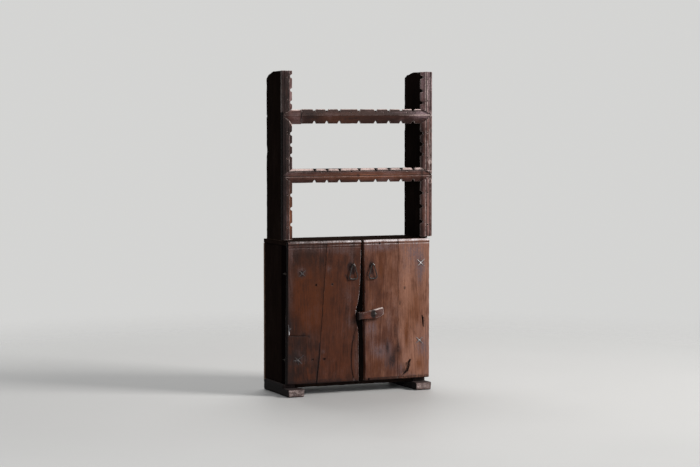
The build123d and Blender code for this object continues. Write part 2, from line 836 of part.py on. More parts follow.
def stile(span, shares):
    low_inner, low_outer, high_inner, high_outer = span
    outline = [(stile_inner, low_inner), (stile_outer, low_outer)]
    outline += [(stile_outer, high_outer), (stile_inner, high_inner)]
    piece = stile_moulding() & plate_xz(outline, stile_front - cut_margin, carcass_front)
    for share in shares:
        piece -= notch(stile_inner, low_inner + share * (high_inner - low_inner), 1, 0)
    return piece


stiles = [stile(span, shares) for span, shares in zip(stile_spans, stile_notches)]
upper_rail = rail(upper_rail_top, upper_rail_height, upper_ridge_drop, False)
lower_rail = rail(lower_rail_top, lower_rail_height, lower_ridge_drop, True)
left_panel = rack_panel(-1, left_corner, True)
right_panel = rack_panel(1, right_corner, False)
upper_shelf = rack_shelf(upper_shelf_top, 0)
lower_shelf = rack_shelf(lower_shelf_top, 0)

# The upper rail's left end has broken off along the grain and sits a little low.
rail_break = rail_break_share * stile_inner
cut_levels = (upper_rail_top + cut_margin, upper_ridge, upper_bottom - cut_margin)
broken_edge = [(rail_break + offset, level) for offset, level in zip(rail_break_offsets, cut_levels)]
far_left = [(-stile_outer - cut_margin, cut_levels[2]), (-stile_outer - cut_margin, cut_levels[0])]
left_of_break = plate_xz(broken_edge + far_left, stile_front, carcass_front + cut_margin)
upper_rail_end = upper_rail & (Pos(-rail_break_gap, 0, 0) * left_of_break)
upper_rail -= left_of_break
below_mitre = [(-stile_inner, upper_bottom - upper_rail_height), (-stile_outer, upper_bottom - upper_rail_height)]
end_stile_mitre = plate_xz(
    [(-stile_outer, upper_ridge), (-stile_inner, upper_bottom)] + below_mitre, stile_front, carcass_front
)
upper_rail_end = (Pos(0, 0, -rail_end_sag) * upper_rail_end) - end_stile_mitre

# Pegs: two through each stile into the panel's edge, four along each rail.
rack_pegs = []
rack_peg_holes = []


def add_rack_peg(x, z, front):
    back = carcass_front + rack_peg_depth
    rack_pegs.append(rod((x, front, z), (x, back, z), rack_peg_radius))
    hole_ends = ((x, stile_front - cut_margin, z), (x, back + seat_gap, z))
    rack_peg_holes.append(rod(*hole_ends, rack_peg_radius + peg_clearance))


for low_inner, low_outer, high_inner, high_outer in stile_spans:
    low = max(low_inner, low_outer)
    high = min(high_inner, high_outer)
    for share in (0.22, 0.8):
        for side in (-1, 1):
            add_rack_peg(side * panel_centre, low + share * (high - low), stile_front)
peg_front = carcass_front - rail_edge
for top in (upper_shelf_top, lower_shelf_top):
    for share in (-0.55, -0.1, 0.39, 0.78):
        add_rack_peg(share * stile_inner, top - rack_shelf_thickness / 2, peg_front)


def with_peg_holes(solid):
    for hole in rack_peg_holes:
        if solid.bounding_box().overlaps(hole.bounding_box()):
            solid -= hole
    return solid


left_panel = with_peg_holes(left_panel)
right_panel = with_peg_holes(right_panel)
upper_shelf = with_peg_holes(upper_shelf)
lower_shelf = with_peg_holes(lower_shelf)
upper_rail = with_peg_holes(upper_rail)
lower_rail = with_peg_holes(lower_rail)
right_stiles = [with_peg_holes(piece) for piece in stiles]
left_stiles = [with_peg_holes(flipped(piece)) for piece in stiles]

# Dowels hold the rack's panels upright on the lid.
dowels = []
for side in (-1, 1):
    for y in (carcass_front + dowel_inset, rack_back - dowel_inset):
        x = side * panel_centre
        foot = carcass_height - dowel_length / 2
        head = carcass_height + dowel_length / 2
        dowels.append(rod((x, y, foot), (x, y, head), dowel_radius))
        hole = rod((x, y, foot - seat_gap), (x, y, head + seat_gap), dowel_radius + peg_clearance)
        lid -= hole
        left_panel -= hole
        right_panel -= hole


os.makedirs("parts", exist_ok=True)
save("left_runner", left_runner)
save("right_runner", right_runner)
save("bottom_board", bottom_board)
save("lid_board", lid)
save("left_side_board", left_side)
save("right_side_board", right_side)
for name, board in zip(("left", "middle", "right"), back_boards):
    save(f"back_board_{name}", board)
save("back_nails", *back_nails)
save("lid_pegs", *lid_pegs)
save("inner_shelf", shelf)
save("left_shelf_cleat", cleat(-1))
save("right_shelf_cleat", cleat(1))
save("centre_post", centre_post)
save("left_side_hinge_pins", *[side_pin(-1, height) for height in left_hinge_heights])
save("right_side_hinge_pins", *[side_pin(1, height) for height in right_hinge_heights])

save("rack_left_panel", left_panel)
save("rack_right_panel", right_panel)
save("rack_upper_shelf", upper_shelf)
save("rack_lower_shelf", lower_shelf)
save("rack_upper_rail", upper_rail)
save("rack_upper_rail_end", upper_rail_end)
save("rack_lower_rail", lower_rail)
for name, left, right in zip(("bottom", "middle", "top"), left_stiles, right_stiles):
    save(f"rack_left_stile_{name}", left)
    save(f"rack_right_stile_{name}", right)
save("rack_pegs", *rack_pegs)
save("rack_dowels", *dowels)

save("left_door_outer_board", left_outer_board)
save("left_door_inner_board", left_inner_board)
save("left_door_splice", left_splice)
save("left_door_upper_batten", left_battens[0])
save("left_door_lower_batten", left_battens[1])
save("left_door_pegs", *left_pegs)
save("left_door_hinge_pins", *map(door_pin, (-1, -1), left_hinge_heights, left_hinge_reaches))
save("left_pull_eye", pull_eye(left_pull_x))
save("left_pull_drop", pull_drop(left_pull_x))

save("right_door_outer_board", right_outer_board)
save("right_door_inner_board", right_inner_board)
save("right_door_upper_batten", right_battens[0])
save("right_door_lower_batten", right_battens[1])
save("right_door_nails", *right_nails)
save("right_door_hinge_pins", *map(door_pin, (1, 1), right_hinge_heights, right_hinge_reaches))
save("right_pull_eye", pull_eye(right_pull_x))
save("right_pull_drop", pull_drop(right_pull_x))
save("latch_bar", latch_bar())
save("latch_pin", latch_pin())
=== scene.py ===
import math
import bmesh
import bpy
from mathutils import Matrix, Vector, noise


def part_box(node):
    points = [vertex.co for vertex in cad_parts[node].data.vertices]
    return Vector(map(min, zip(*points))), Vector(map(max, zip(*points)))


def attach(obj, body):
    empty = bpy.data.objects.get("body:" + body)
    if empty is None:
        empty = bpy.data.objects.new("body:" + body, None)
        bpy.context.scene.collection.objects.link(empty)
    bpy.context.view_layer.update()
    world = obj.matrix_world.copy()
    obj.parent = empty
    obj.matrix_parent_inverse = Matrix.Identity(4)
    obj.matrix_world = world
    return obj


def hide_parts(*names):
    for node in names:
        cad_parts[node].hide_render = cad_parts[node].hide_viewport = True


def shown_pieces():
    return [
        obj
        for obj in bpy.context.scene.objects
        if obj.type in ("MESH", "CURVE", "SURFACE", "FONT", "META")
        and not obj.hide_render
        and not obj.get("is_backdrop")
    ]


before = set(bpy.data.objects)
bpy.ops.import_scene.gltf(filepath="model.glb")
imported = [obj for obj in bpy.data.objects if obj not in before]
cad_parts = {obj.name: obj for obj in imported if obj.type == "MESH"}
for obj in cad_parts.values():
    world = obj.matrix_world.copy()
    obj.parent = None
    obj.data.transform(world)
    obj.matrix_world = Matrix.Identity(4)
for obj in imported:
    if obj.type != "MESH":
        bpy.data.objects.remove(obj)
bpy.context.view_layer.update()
print("frame loaded:", len(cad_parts), "nodes")


def paint(red, green, blue):  # screen colour, 0 to 255, as a linear colour
    values = [c / 255 for c in (red, green, blue)]
    return tuple(c / 12.92 if c <= 0.04045 else ((c + 0.055) / 1.055) ** 2.4 for c in values) + (1.0,)


# Materials

class Wire:  # one node output; arithmetic on it adds Math nodes
    def __init__(self, tree, socket=None):
        self.tree = tree
        self.socket = socket

    def add(self, kind, settings=None, values=None, output=0):
        node = self.tree.nodes.new(kind)
        for name, value in (settings or {}).items():
            setattr(node, name, value)
        for key, value in (values or {}).items():
            if isinstance(value, Wire):
                self.tree.links.new(value.socket, node.inputs[key])
            else:
                node.inputs[key].default_value = value
        return Wire(self.tree, node.outputs[output])

    def math(self, operation, *values):
        return self.add("ShaderNodeMath", {"operation": operation}, dict(enumerate(values)))

    def __add__(self, other):
        return self.math("ADD", self, other)

    def __radd__(self, other):
        return self.math("ADD", other, self)

    def __sub__(self, other):
        return self.math("SUBTRACT", self, other)

    def __rsub__(self, other):
        return self.math("SUBTRACT", other, self)

    def __mul__(self, other):
        return self.math("MULTIPLY", self, other)

    def __rmul__(self, other):
        return self.math("MULTIPLY", other, self)

    def __truediv__(self, other):
        return self.math("DIVIDE", self, other)

    def __pow__(self, other):
        return self.math("POWER", self, other)

    def fract(self):
        return self.math("FRACT", self)

    def highest(self, other):
        return self.math("MAXIMUM", self, other)

    def step(self, low, high):  # 0 below low, 1 above high, smooth between
        ends = {"Value": self, "From Min": low, "From Max": high}
        return self.add("ShaderNodeMapRange", {"interpolation_type": "SMOOTHSTEP"}, ends)

    def mix(self, first, second):  # colours, with this value as the factor
        return self.add("ShaderNodeMix", {"data_type": "RGBA"}, {0: self, 6: first, 7: second}, 2)

    def part(self, index):
        return self.add("ShaderNodeSeparateXYZ", {}, {0: self}, index)

    def stretched(self, scale):
        return self.add("ShaderNodeVectorMath", {"operation": "MULTIPLY"}, {0: self, 1: scale})

    def noise(self, scale, detail=2.0, roughness=0.5):
        values = {"Vector": self, "Scale": scale, "Detail": detail, "Roughness": roughness}
        return self.add("ShaderNodeTexNoise", {}, values)

    def spots(self, scale):  # distance to the nearest of scattered points
        return self.add("ShaderNodeTexVoronoi", {}, {"Vector": self, "Scale": scale, "Randomness": 1.0})


def newMaterial(name, fill):
    material = bpy.data.materials.new(name)
    material.use_nodes = True
    tree = material.node_tree
    fill(Wire(tree), tree.nodes["Principled BSDF"])
    return material


def plug(wire, shader, name):
    wire.tree.links.new(wire.socket, shader.inputs[name])


# The wood's noises: what lengths along the grain are multiplied by, then scale, detail, roughness.
woodNoises = {
    "fibre": (0.02, 420, 3, 0.6), "streak": (0.07, 95, 3, 0.6), "band": (0.16, 26, 4, 0.6),
    "cloud": (0.6, 13, 5, 0.65), "mottle": (0.45, 36, 4, 0.62), "pore": (0.04, 900, 1, 0.5),
}


# Every wooden piece carries three vector attributes: "grain", its place in the log
# (across, through, along), one for finish and painted light (wear with painted highlights, dirt with painted
# shade, tone) and "marks" (warm, cool, dark: stains with painted shadow).
def woodMaterial(name, look):
    def fill(start, shader):
        grain = start.add("ShaderNodeAttribute", {"attribute_name": "grain"}, {}, "Vector")
        finishAndPaintedLight = start.add("ShaderNodeAttribute", {"attribute_name": "finishAndPaintedLight"}, {}, "Vector")
        marks = start.add("ShaderNodeAttribute", {"attribute_name": "marks"}, {}, "Vector")
        wear, grimeAndShade, tone = (finishAndPaintedLight.part(i) for i in range(3))
        warm, cool, dark = (marks.part(i) for i in range(3))
        drift = grain.stretched((1, 1, 0.2)).noise(look["driftScale"], 2)
        wander = grain.stretched((1, 1, 0.12)).noise(look["driftScale"] * 5, 1)
        across = grain.part(0) + (drift - 0.5) * look["drift"]
        through = grain.part(1) + (wander - 0.5) * look["drift"] * 0.3
        radius = (across * across + through * through) ** 0.5
        year = (radius / look["ringWidth"] + wander * 0.5).fract()
        ring = year.step(0.3, 0.9) * (1 - year.step(0.92, 1.0))  # darkens slowly, then ends at once
        fibre, streak, band, cloud, mottle, pore = (
            grain.stretched((1, 1, along)).noise(*rest) for along, *rest in woodNoises.values())
        pores = pore.step(0.62, 0.72)
        fleck = grain.noise(150, 3, 0.65)
        specks = 1 - grain.stretched((1, 1, 0.6)).spots(48).step(0.04, 0.1)
        slant = start.add("ShaderNodeCombineXYZ", {}, {
            0: grain.part(0) + grain.part(2) * 0.33, 1: grain.part(1), 2: grain.part(2) * 0.06})
        scratch = slant.noise(190, 2, 0.5).step(0.66, 0.74)

        shade = 0.5 + (band - 0.5) * look["bandStrength"] + (streak - 0.5) * look["streakStrength"]
        shade = shade + (cloud - 0.5) * look["cloudStrength"] + (mottle - 0.5) * look["mottleStrength"]
        shade = shade + (tone - 0.5)
        colour = shade.step(0.0, 0.55).mix(look["dark"], look["mid"])
        colour = shade.step(0.42, 1.0).mix(colour, look["light"])
        glow = warm * (0.3 + streak * 0.5 + cloud.step(0.35, 0.6) * 0.5)
        colour = glow.highest(mottle.step(0.5, 0.7) * look["blush"]).mix(colour, look["warm"])
        lines = ring * (0.3 + band.step(0.35, 0.65) * 0.7) * fibre.step(0.15, 0.75)
        colour = (lines * look["ringStrength"]).mix(colour, look["ringColour"])
        haze = cloud.step(0.5, 0.72) * look["patinaStrength"] * fleck.step(0.25, 0.65)
        speckle = (streak - 0.5) * 2.2 + (fleck - 0.5) * 2.4
        dull = (cool * (0.75 + speckle * 0.8 + (cloud - 0.5) * 0.8)).step(0.12, 1.0)
        colour = haze.highest(dull).mix(colour, look["patina"])
        colour = (pores * 0.35 + fibre.step(0.48, 0.72) * 0.3 + scratch * 0.25).mix(colour, look["dark"])
        # grime: dirt in hollows and seams, with painted shade in grooves, gaps, holes and on faces turned
        # from the light
        dirtAndShade = (grimeAndShade * 1.25 + (fleck - 0.5) * grimeAndShade * 1.4 + (cloud - 0.5) * grimeAndShade).step(0.12, 0.95)
        # dark marks: stains, with painted shadow and shade
        stainAndShade = (dark * (0.8 + speckle * 0.8)).step(0.08, 0.7)
        # wear: pale rubbing, with painted highlights on lit edges, the doors' nosing and the runners' fronts
        worn = (wear * (0.8 + (fleck - 0.5) * 1.1 + (streak - 0.5) * 0.9)).step(0.2, 0.85)
        worn = worn * look["wearAndHighlightStrength"]
        colour = worn.mix(colour, look["worn"])
        colour = (stainAndShade * look["stainAndShadeStrength"]).highest(specks * 0.55).mix(colour, look["stainAndShade"])
        colour = (dirtAndShade * look["grimeAndShadeStrength"]).mix(colour, look["grimeAndShade"])
        plug(colour, shader, "Base Color")

        rough = look["roughness"] + (cloud - 0.5) * 0.24 + pores * 0.08 + dirtAndShade * 0.25 + stainAndShade * 0.1
        plug(rough - worn * look["polish"] + cool * 0.12 + dark * 0.2, shader, "Roughness")
        height = ring * -0.5 + fibre * 0.9 + pores * -0.7 + streak * 1.3 - scratch * 0.8
        height = height + fleck * 0.7 * look["scuff"] - specks * 1.2
        bumpValues = {"Strength": look["bump"], "Distance": 0.001, "Height": height}
        plug(start.add("ShaderNodeBump", {}, bumpValues), shader, "Normal")
        shader.inputs["Specular IOR Level"].default_value = look["gloss"]
    return newMaterial(name, fill)


def ironMaterial(name, look):
    def fill(start, shader):
        place = start.add("ShaderNodeTexCoord", {}, {}, "Object")
        # The first value is wear, with painted glints on the clinches and the pull drops.
        wear = start.add("ShaderNodeAttribute", {"attribute_name": "finishAndPaintedLight"}, {}, "Vector").part(0)
        patch = place.noise(90, 4, 0.6)
        grit = place.noise(900, 3, 0.6)
        dent = place.noise(180, 2, 0.4)
        rust = (patch + (grit - 0.5) * 0.5).step(0.48, 0.72) * look["rustStrength"]
        bright = (wear * 1.1 + (patch - 0.5) * 0.8).step(0.25, 0.9)
        colour = (grit.step(0.3, 0.8) * 0.5 + patch.step(0.35, 0.65) * 0.5).mix(look["dark"], look["mid"])
        colour = bright.mix(colour, look["bright"])
        colour = (rust * (1 - bright * 0.7)).mix(colour, look["rust"])
        plug(colour, shader, "Base Color")
        plug(look["roughness"] + rust * 0.25 + (grit - 0.5) * 0.2 - bright * 0.08, shader, "Roughness")
        plug(look["metallic"] * (1 - rust * 0.8), shader, "Metallic")
        height = dent * 1.2 + grit * 0.35
        bumpValues = {"Strength": 0.5, "Distance": 0.0012, "Height": height}
        plug(start.add("ShaderNodeBump", {}, bumpValues), shader, "Normal")
    return newMaterial(name, fill)


woodLook = {
    "dark": paint(30, 16, 12), "mid": paint(75, 43, 31), "light": paint(136, 96, 79),
    "warm": paint(90, 49, 24), "ringColour": paint(38, 21, 17), "ringStrength": 0.5, "ringWidth": 0.0075,
    "patina": paint(77, 58, 55), "patinaStrength": 0.3,
    # The pale below is for wear and painted highlights, the stain colour for stains and painted shadow, the
    # grime colour for dirt and painted shade.
    "worn": paint(212, 205, 206), "wearAndHighlightStrength": 0.95,
    "stainAndShade": paint(24, 15, 15), "stainAndShadeStrength": 0.85,
    "grimeAndShade": paint(10, 6, 6), "grimeAndShadeStrength": 0.94,
    "bandStrength": 0.7, "streakStrength": 0.5, "cloudStrength": 0.45, "mottleStrength": 0.55,
    "blush": 0.4, "drift": 0.05, "driftScale": 3.2, "roughness": 0.44, "polish": 0.08, "gloss": 0.12,
    "bump": 0.45, "scuff": 1.0,
}
rightDoorWood = woodMaterial("rightDoorWood", woodLook | {"patina": paint(92, 73, 73)})
leftDoorWood = woodMaterial("leftDoorWood", woodLook | {  # warmer than the right one, and darker, partly as painted shade
    "dark": paint(30, 14, 9), "mid": paint(73, 38, 23), "light": paint(122, 78, 57), "warm": paint(70, 32, 9),
    "patina": paint(74, 55, 52),
})
rackWood = woodMaterial("rackWood", woodLook | {
    "dark": paint(28, 15, 14), "mid": paint(66, 42, 38), "light": paint(136, 104, 100),
    "warm": paint(112, 66, 42), "patina": paint(122, 102, 106), "worn": paint(206, 184, 178),
    "wearAndHighlightStrength": 0.88, "ringWidth": 0.005, "roughness": 0.42, "bandStrength": 0.8, "blush": 0.08,
})
# Near-black: partly the wood's own colour, partly painted shade for boards that stand in shade.
carcassWood = woodMaterial("carcassWood", woodLook | {
    "dark": paint(15, 11, 10), "mid": paint(27, 20, 17), "light": paint(44, 33, 28),
    "warm": paint(60, 42, 31), "ringColour": paint(14, 10, 9), "patina": paint(34, 29, 28),
    "worn": paint(84, 66, 58), "wearAndHighlightStrength": 0.5, "roughness": 0.8, "gloss": 0.0, "mottleStrength": 0.2,
    "blush": 0.0,
})
# Black as painted shade in the gap between the doors.
postWood = woodMaterial("postWood", woodLook | {
    "dark": paint(10, 8, 8), "mid": paint(18, 15, 13), "light": paint(32, 27, 24), "warm": paint(28, 22, 18),
    "patina": paint(26, 23, 22), "worn": paint(60, 50, 45), "roughness": 0.8, "gloss": 0.0,
})
innerWood = woodMaterial("innerWood", woodLook | {
    "dark": paint(58, 42, 33), "mid": paint(96, 73, 57), "light": paint(130, 102, 80),
    "warm": paint(132, 94, 62), "ringColour": paint(60, 42, 33), "patina": paint(86, 74, 66),
    "worn": paint(140, 120, 104), "wearAndHighlightStrength": 0.4, "roughness": 0.7, "gloss": 0.15, "bandStrength": 0.6,
    "streakStrength": 0.6, "cloudStrength": 0.5, "ringStrength": 0.3,
})
runnerWood = woodMaterial("runnerWood", woodLook | {
    "dark": paint(44, 33, 32), "mid": paint(88, 72, 69), "light": paint(142, 124, 120),
    "warm": paint(104, 80, 70), "patina": paint(96, 86, 86), "worn": paint(206, 188, 182), "roughness": 0.6,
    "gloss": 0.2, "bump": 0.6, "scuff": 1.0,
})
latchWood = woodMaterial("latchWood", woodLook | {
    "dark": paint(34, 19, 16), "mid": paint(68, 41, 34), "light": paint(110, 80, 73),
    "warm": paint(84, 44, 31), "patina": paint(96, 76, 74), "worn": paint(228, 212, 206),
    "wearAndHighlightStrength": 0.95, "roughness": 0.4, "gloss": 0.15,
})
pegWood = woodMaterial("pegWood", woodLook | {
    "dark": paint(18, 9, 8), "mid": paint(26, 14, 11), "light": paint(42, 25, 19),
    "worn": paint(60, 38, 31), "patina": paint(34, 22, 20), "roughness": 0.7, "gloss": 0.0,
})
forgedIron = ironMaterial("forgedIron", {
    "dark": paint(34, 32, 34), "mid": paint(78, 74, 76), "bright": paint(196, 190, 190),
    "rust": paint(48, 30, 24), "rustStrength": 0.75, "roughness": 0.38, "metallic": 0.7,
})
hingeIron = ironMaterial("hingeIron", {
    "dark": paint(16, 13, 12), "mid": paint(34, 28, 26), "bright": paint(78, 69, 64),
    "rust": paint(40, 24, 18), "rustStrength": 0.9, "roughness": 0.6, "metallic": 0.6,
})
handledIron = ironMaterial("handledIron", {  # polished by hands: pulls and the latch's pin
    "dark": paint(20, 17, 17), "mid": paint(46, 40, 38), "bright": paint(206, 196, 190),
    "rust": paint(44, 28, 23), "rustStrength": 0.7, "roughness": 0.36, "metallic": 0.4,
})
print("materials made")


# Wood working: a copy of a CAD solid gets eased edges, a grid of cuts, and age.

def meshOf(shape, name):
    mesh = bpy.data.meshes.new(name)
    shape.to_mesh(mesh)
    shape.free()
    return mesh


def solidCopy(node, flatten=True):
    shape = bmesh.new()
    shape.from_mesh(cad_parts[node].data)
    bmesh.ops.remove_doubles(shape, verts=shape.verts, dist=2e-6)
    if flatten:
        bmesh.ops.dissolve_limit(shape, angle_limit=0.01, verts=shape.verts, edges=shape.edges)
    return shape


leastTurn = 0.4  # an edge is rounded where its faces turn by more radians than this
fullTurn = 0.5  # and it wears fully from here


def easeEdges(shape, offset, shortest, fine=None):  # edges that fine() picks are hardly rounded
    turned = [e for e in shape.edges if e.is_manifold and e.calc_face_angle_signed() > leastTurn]
    sharp = [e for e in turned if e.calc_length() > shortest]
    crisp = [e for e in sharp if fine and fine((e.verts[0].co + e.verts[1].co) / 2)]
    soft = [e for e in sharp if e not in set(crisp)]
    for edges, size in ((soft, offset), (crisp, offset / 6)):
        edges = [e for e in edges if e.is_valid]
        if edges and size:
            bmesh.ops.bevel(shape, geom=edges, offset=size, offset_type="OFFSET", segments=2, profile=0.55,
                            affect="EDGES", clamp_overlap=False)


def cutGrid(shape, steps):  # one spacing for each axis; 0 leaves an axis uncut
    for axis, step in enumerate(steps):
        places = [v.co[axis] for v in shape.verts]
        low, high = min(places), max(places)
        count = round((high - low) / step) if step else 0
        normal = Vector([float(i == axis) for i in range(3)])
        for i in range(1, count):
            everything = shape.verts[:] + shape.edges[:] + shape.faces[:]
            bmesh.ops.bisect_plane(shape, geom=everything, dist=1e-6,
                                   plane_co=normal * (low + (high - low) * i / count), plane_no=normal)


def cutWith(shape, cutters, name):  # cutters are closed bmesh solids, taken out of the shape
    if not cutters:
        return shape
    target = bpy.data.objects.new(name, meshOf(shape, name))
    bpy.context.scene.collection.objects.link(target)
    tools = []
    for cutter in cutters:
        tool = bpy.data.objects.new("cutter", meshOf(cutter, "cutter"))
        bpy.context.scene.collection.objects.link(tool)
        modifier = target.modifiers.new("cut", "BOOLEAN")
        modifier.operation = "DIFFERENCE"
        modifier.solver = "EXACT"
        modifier.object = tool
        tools.append(tool)
    evaluated = target.evaluated_get(bpy.context.evaluated_depsgraph_get())
    result = bmesh.new()
    result.from_mesh(evaluated.data)
    for thing in tools + [target]:
        bpy.data.objects.remove(thing)
    return result


def outlineCutter(outline, depth, front, taper=0.45):  # (x, z) points round a hole that narrows inwards
    shape = bmesh.new()
    middle = sum((Vector(p) for p in outline), Vector((0, 0))) / len(outline)
    rings = []
    for share, y in ((1.0, front - 0.002), (1.0, front + depth * 0.15), (taper, front + depth)):
        rings.append([])
        for i, point in enumerate(map(Vector, outline)):
            before, after = Vector(outline[i - 1]), Vector(outline[(i + 1) % len(outline)])
            near = before * 0.25 + after * 0.25 + point * 0.5
            centre = near * 0.8 + middle * 0.2
            place = centre + (point - centre) * share
            rings[-1].append(shape.verts.new((place.x, y, place.y)))
    for low, high in zip(rings, rings[1:]):
        for a in range(len(outline)):
            b = (a + 1) % len(outline)
            shape.faces.new((low[a], low[b], high[b], high[a]))
    shape.faces.new(rings[0][::-1])
    shape.faces.new(rings[-1])
    bmesh.ops.recalc_face_normals(shape, faces=shape.faces)
    return shape


def crackOutline(path, width):  # a thin outline round a path of (x, z) points
    left, right = [], []
    last = len(path) - 1
    for i, (x, z) in enumerate(path):
        before, after = path[max(i - 1, 0)], path[min(i + 1, last)]
        run = Vector((after[0] - before[0], after[1] - before[1])).normalized()
        half = width / 2 * max(0.12, math.sin(math.pi * i / last)) * (1 + 0.4 * math.sin(i * 2.1))
        left.append((x + run.y * half, z - run.x * half))
        right.append((x - run.y * half, z + run.x * half))
    return left + right[::-1]


def holeOutline(x, z, radius, points=9):
    turns = [math.tau * i / points for i in range(points)]
    return [(x + radius * math.cos(t) * (1 + 0.15 * math.sin(3 * t)), z + radius * math.sin(t))
            for t in turns]


def clamp(value):
    return max(0.0, min(1.0, value))


def hump(place, middle, half):  # 1 in the middle, fading to both sides
    return math.exp(-((place - middle) / half) ** 2)


def nearPath(point, path):  # distance in the door's plane from a path of (x, z) points
    spot = Vector((point.x, point.z))
    best = 1.0
    for a, b in zip(path, path[1:]):
        start, run = Vector(a), Vector(b) - Vector(a)
        t = clamp((spot - start).dot(run) / max(run.length_squared, 1e-12))
        best = min(best, (spot - start - run * t).length)
    return best


def patchSum(p, patches):  # soft ragged patches, each (x, z, half width, half height, strength)
    jitter = 0.45 * noise.noise(Vector((p.x * 38, 5.0, p.z * 16)))
    total = 0.0
    for x, z, wide, high, strength in patches:
        reach = ((p.x - x) / wide) ** 2 + ((p.z - z) / high) ** 2
        if reach < 6:
            total += strength * math.exp(-reach * (1 + jitter) + jitter * 0.6)
    return min(1.0, total)


def lineSum(p, lines):  # soft lines, each (path, half width, strength)
    total = 0.0
    for path, half, strength in lines:
        total = max(total, strength * hump(nearPath(p, path), 0.0, half))
    return total


axisNames = {"x": 0, "y": 1, "z": 2}
nothing = dict.fromkeys(("depth", "calm", "clean", "glow", "wear", "grimeAndShade", "warm", "cool", "dark"), 0.0)


def age(shape, look):  # moves the surface inwards only, and returns the three attributes
    along = axisNames[look["along"]]
    seed = look["seed"]
    shape.normal_update()
    lows = [min(v.co[i] for v in shape.verts) for i in range(3)]
    highs = [max(v.co[i] for v in shape.verts) for i in range(3)]
    centre = [(a + b) / 2 for a, b in zip(lows, highs)]
    sizes = [b - a for a, b in zip(lows, highs)]
    cross = sorted((i for i in range(3) if i != along), key=lambda i: -sizes[i])  # wide, then thin
    grain, finishAndPaintedLight, marks, moves = [], [], [], []
    for v in shape.verts:
        convex = concave = 0.0
        for e in v.link_edges:
            if e.is_manifold:
                angle = e.calc_face_angle_signed()
                convex, concave = max(convex, angle), min(concave, angle)
        edge = min(1.0, convex / fullTurn)
        hollow = min(1.0, -concave / fullTurn)
        p = v.co
        flat = Vector((p[cross[0]] * 16 + seed * 7.3, p[cross[1]] * 16 - seed, p[along] * 3.5 + seed * 3.1))
        rough = Vector((p.x * 34 + seed, p.y * 34, p.z * 34 + seed * 1.7))
        wave = 0.5 + 0.5 * noise.noise(flat)
        bite = max(0.0, 0.45 + 0.75 * noise.noise(rough))
        chip = max(0.0, noise.noise(rough * 0.55 + Vector((0, 0, 11))) - 0.22) * 3
        u = 2 * (p[cross[0]] - centre[cross[0]]) / sizes[cross[0]]
        seam = bool(look["fine"] and look["fine"](p))
        seamDirt = look["seamDirt"] * edge if seam else 0.0
        edge *= 0.3 if seam else 1.0
        extra = nothing | (look["feature"](p, v.normal) if look["feature"] else {})
        edge *= 1 - extra["calm"]
        depth = look["wave"] * wave + edge * (look["wear"] * bite + look["chips"] * chip)
        depth += look["cup"] * u * u
        moves.append(v.normal * -(depth + extra["depth"]))
        worn = max(edge * (0.55 + 0.45 * bite) * look["rub"], extra["wear"])
        grimeAndShade = max(hollow * (1 - extra["clean"]), extra["grimeAndShade"], seamDirt)
        finishAndPaintedLight.append((worn, min(1.0, grimeAndShade), look["tone"] + extra["glow"]))
        marks.append((extra["warm"], extra["cool"], extra["dark"]))
        q = [p[i] - centre[i] for i in (cross[0], cross[1], along)]
        pith = look["pith"]
        grain.append((q[0] + pith[0] + q[2] * pith[2], q[1] + pith[1], q[2] + seed * 1.37))
    for v, move in zip(shape.verts, moves):
        if look["seated"] and v.co.z < lows[2] + 1e-4:
            move.z = 0.0
        v.co += move
    return {"grain": grain, "finishAndPaintedLight": finishAndPaintedLight, "marks": marks}


def setAttributes(mesh, table):
    for name, rows in table.items():
        attribute = mesh.attributes.new(name, "FLOAT_VECTOR", "POINT")
        attribute.data.foreach_set("vector", [value for row in rows for value in row])


def placePiece(mesh, material, body, nodes=(), sharpest=38):
    mesh.materials.append(material)
    mesh.shade_smooth()
    mesh.set_sharp_from_angle(angle=math.radians(sharpest))
    piece = bpy.data.objects.new(mesh.name, mesh)
    bpy.context.scene.collection.objects.link(piece)
    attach(piece, body)
    if nodes:
        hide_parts(*nodes)


plainBoard = {
    "along": "z", "steps": (0.02, 0, 0.02), "ease": 0.002, "shortest": 0.012, "fine": None, "wave": 0.0006,
    "wear": 0.0012, "chips": 0.001, "cup": 0.0, "rub": 1.0, "seamDirt": 0.6, "tone": 0.5, "seed": 1.0,
    "pith": (0.01, 0.05, 0.02), "feature": None, "seated": False,  # seated keeps its lowest face level
}
battenLook = {"along": "x", "steps": (0.02, 0.01, 0.02)}
pegLook = {"steps": (0, 0, 0), "ease": 0, "rub": 0.0}


def dressBoard(node, material, body, look, cutters=()):
    look = plainBoard | look
    shape = cutWith(solidCopy(node), cutters, node)
    easeEdges(shape, look["ease"], look["shortest"], look["fine"])
    cutGrid(shape, look["steps"])
    table = age(shape, look)
    mesh = meshOf(shape, "worn_" + node)
    setAttributes(mesh, table)
    placePiece(mesh, material, body, (node,))


plainIron = {
    "steps": (0.003, 0.003, 0.003), "ease": 0.0006, "shortest": 0.002, "dents": 0.0003, "dentScale": 210,
}


def dressIron(node, material, body, look={}):  # hammered copy of a forged piece
    look = plainIron | look
    shape = solidCopy(node, flatten=False)
    easeEdges(shape, look["ease"], look["shortest"])
    cutGrid(shape, look["steps"])
    shape.normal_update()
    finishAndPaintedLight, moves = [], []
    for v in shape.verts:
        convex = max([e.calc_face_angle_signed() for e in v.link_edges if e.is_manifold] + [0.0])
        dent = 0.5 + 0.5 * noise.noise(v.co * look["dentScale"])
        finishAndPaintedLight.append((min(1.0, convex / 0.6) * 0.8 + 0.4 * (1 - dent), 0.0, 0.5))
        moves.append(v.normal * (-look["dents"] * dent))
    for v, move in zip(shape.verts, moves):
        v.co += move
    mesh = meshOf(shape, "worn_" + node)
    setAttributes(mesh, {"finishAndPaintedLight": finishAndPaintedLight})
    placePiece(mesh, material, body, (node,), 42)


outward = Vector((0, -1, 0))  # out of the door fronts


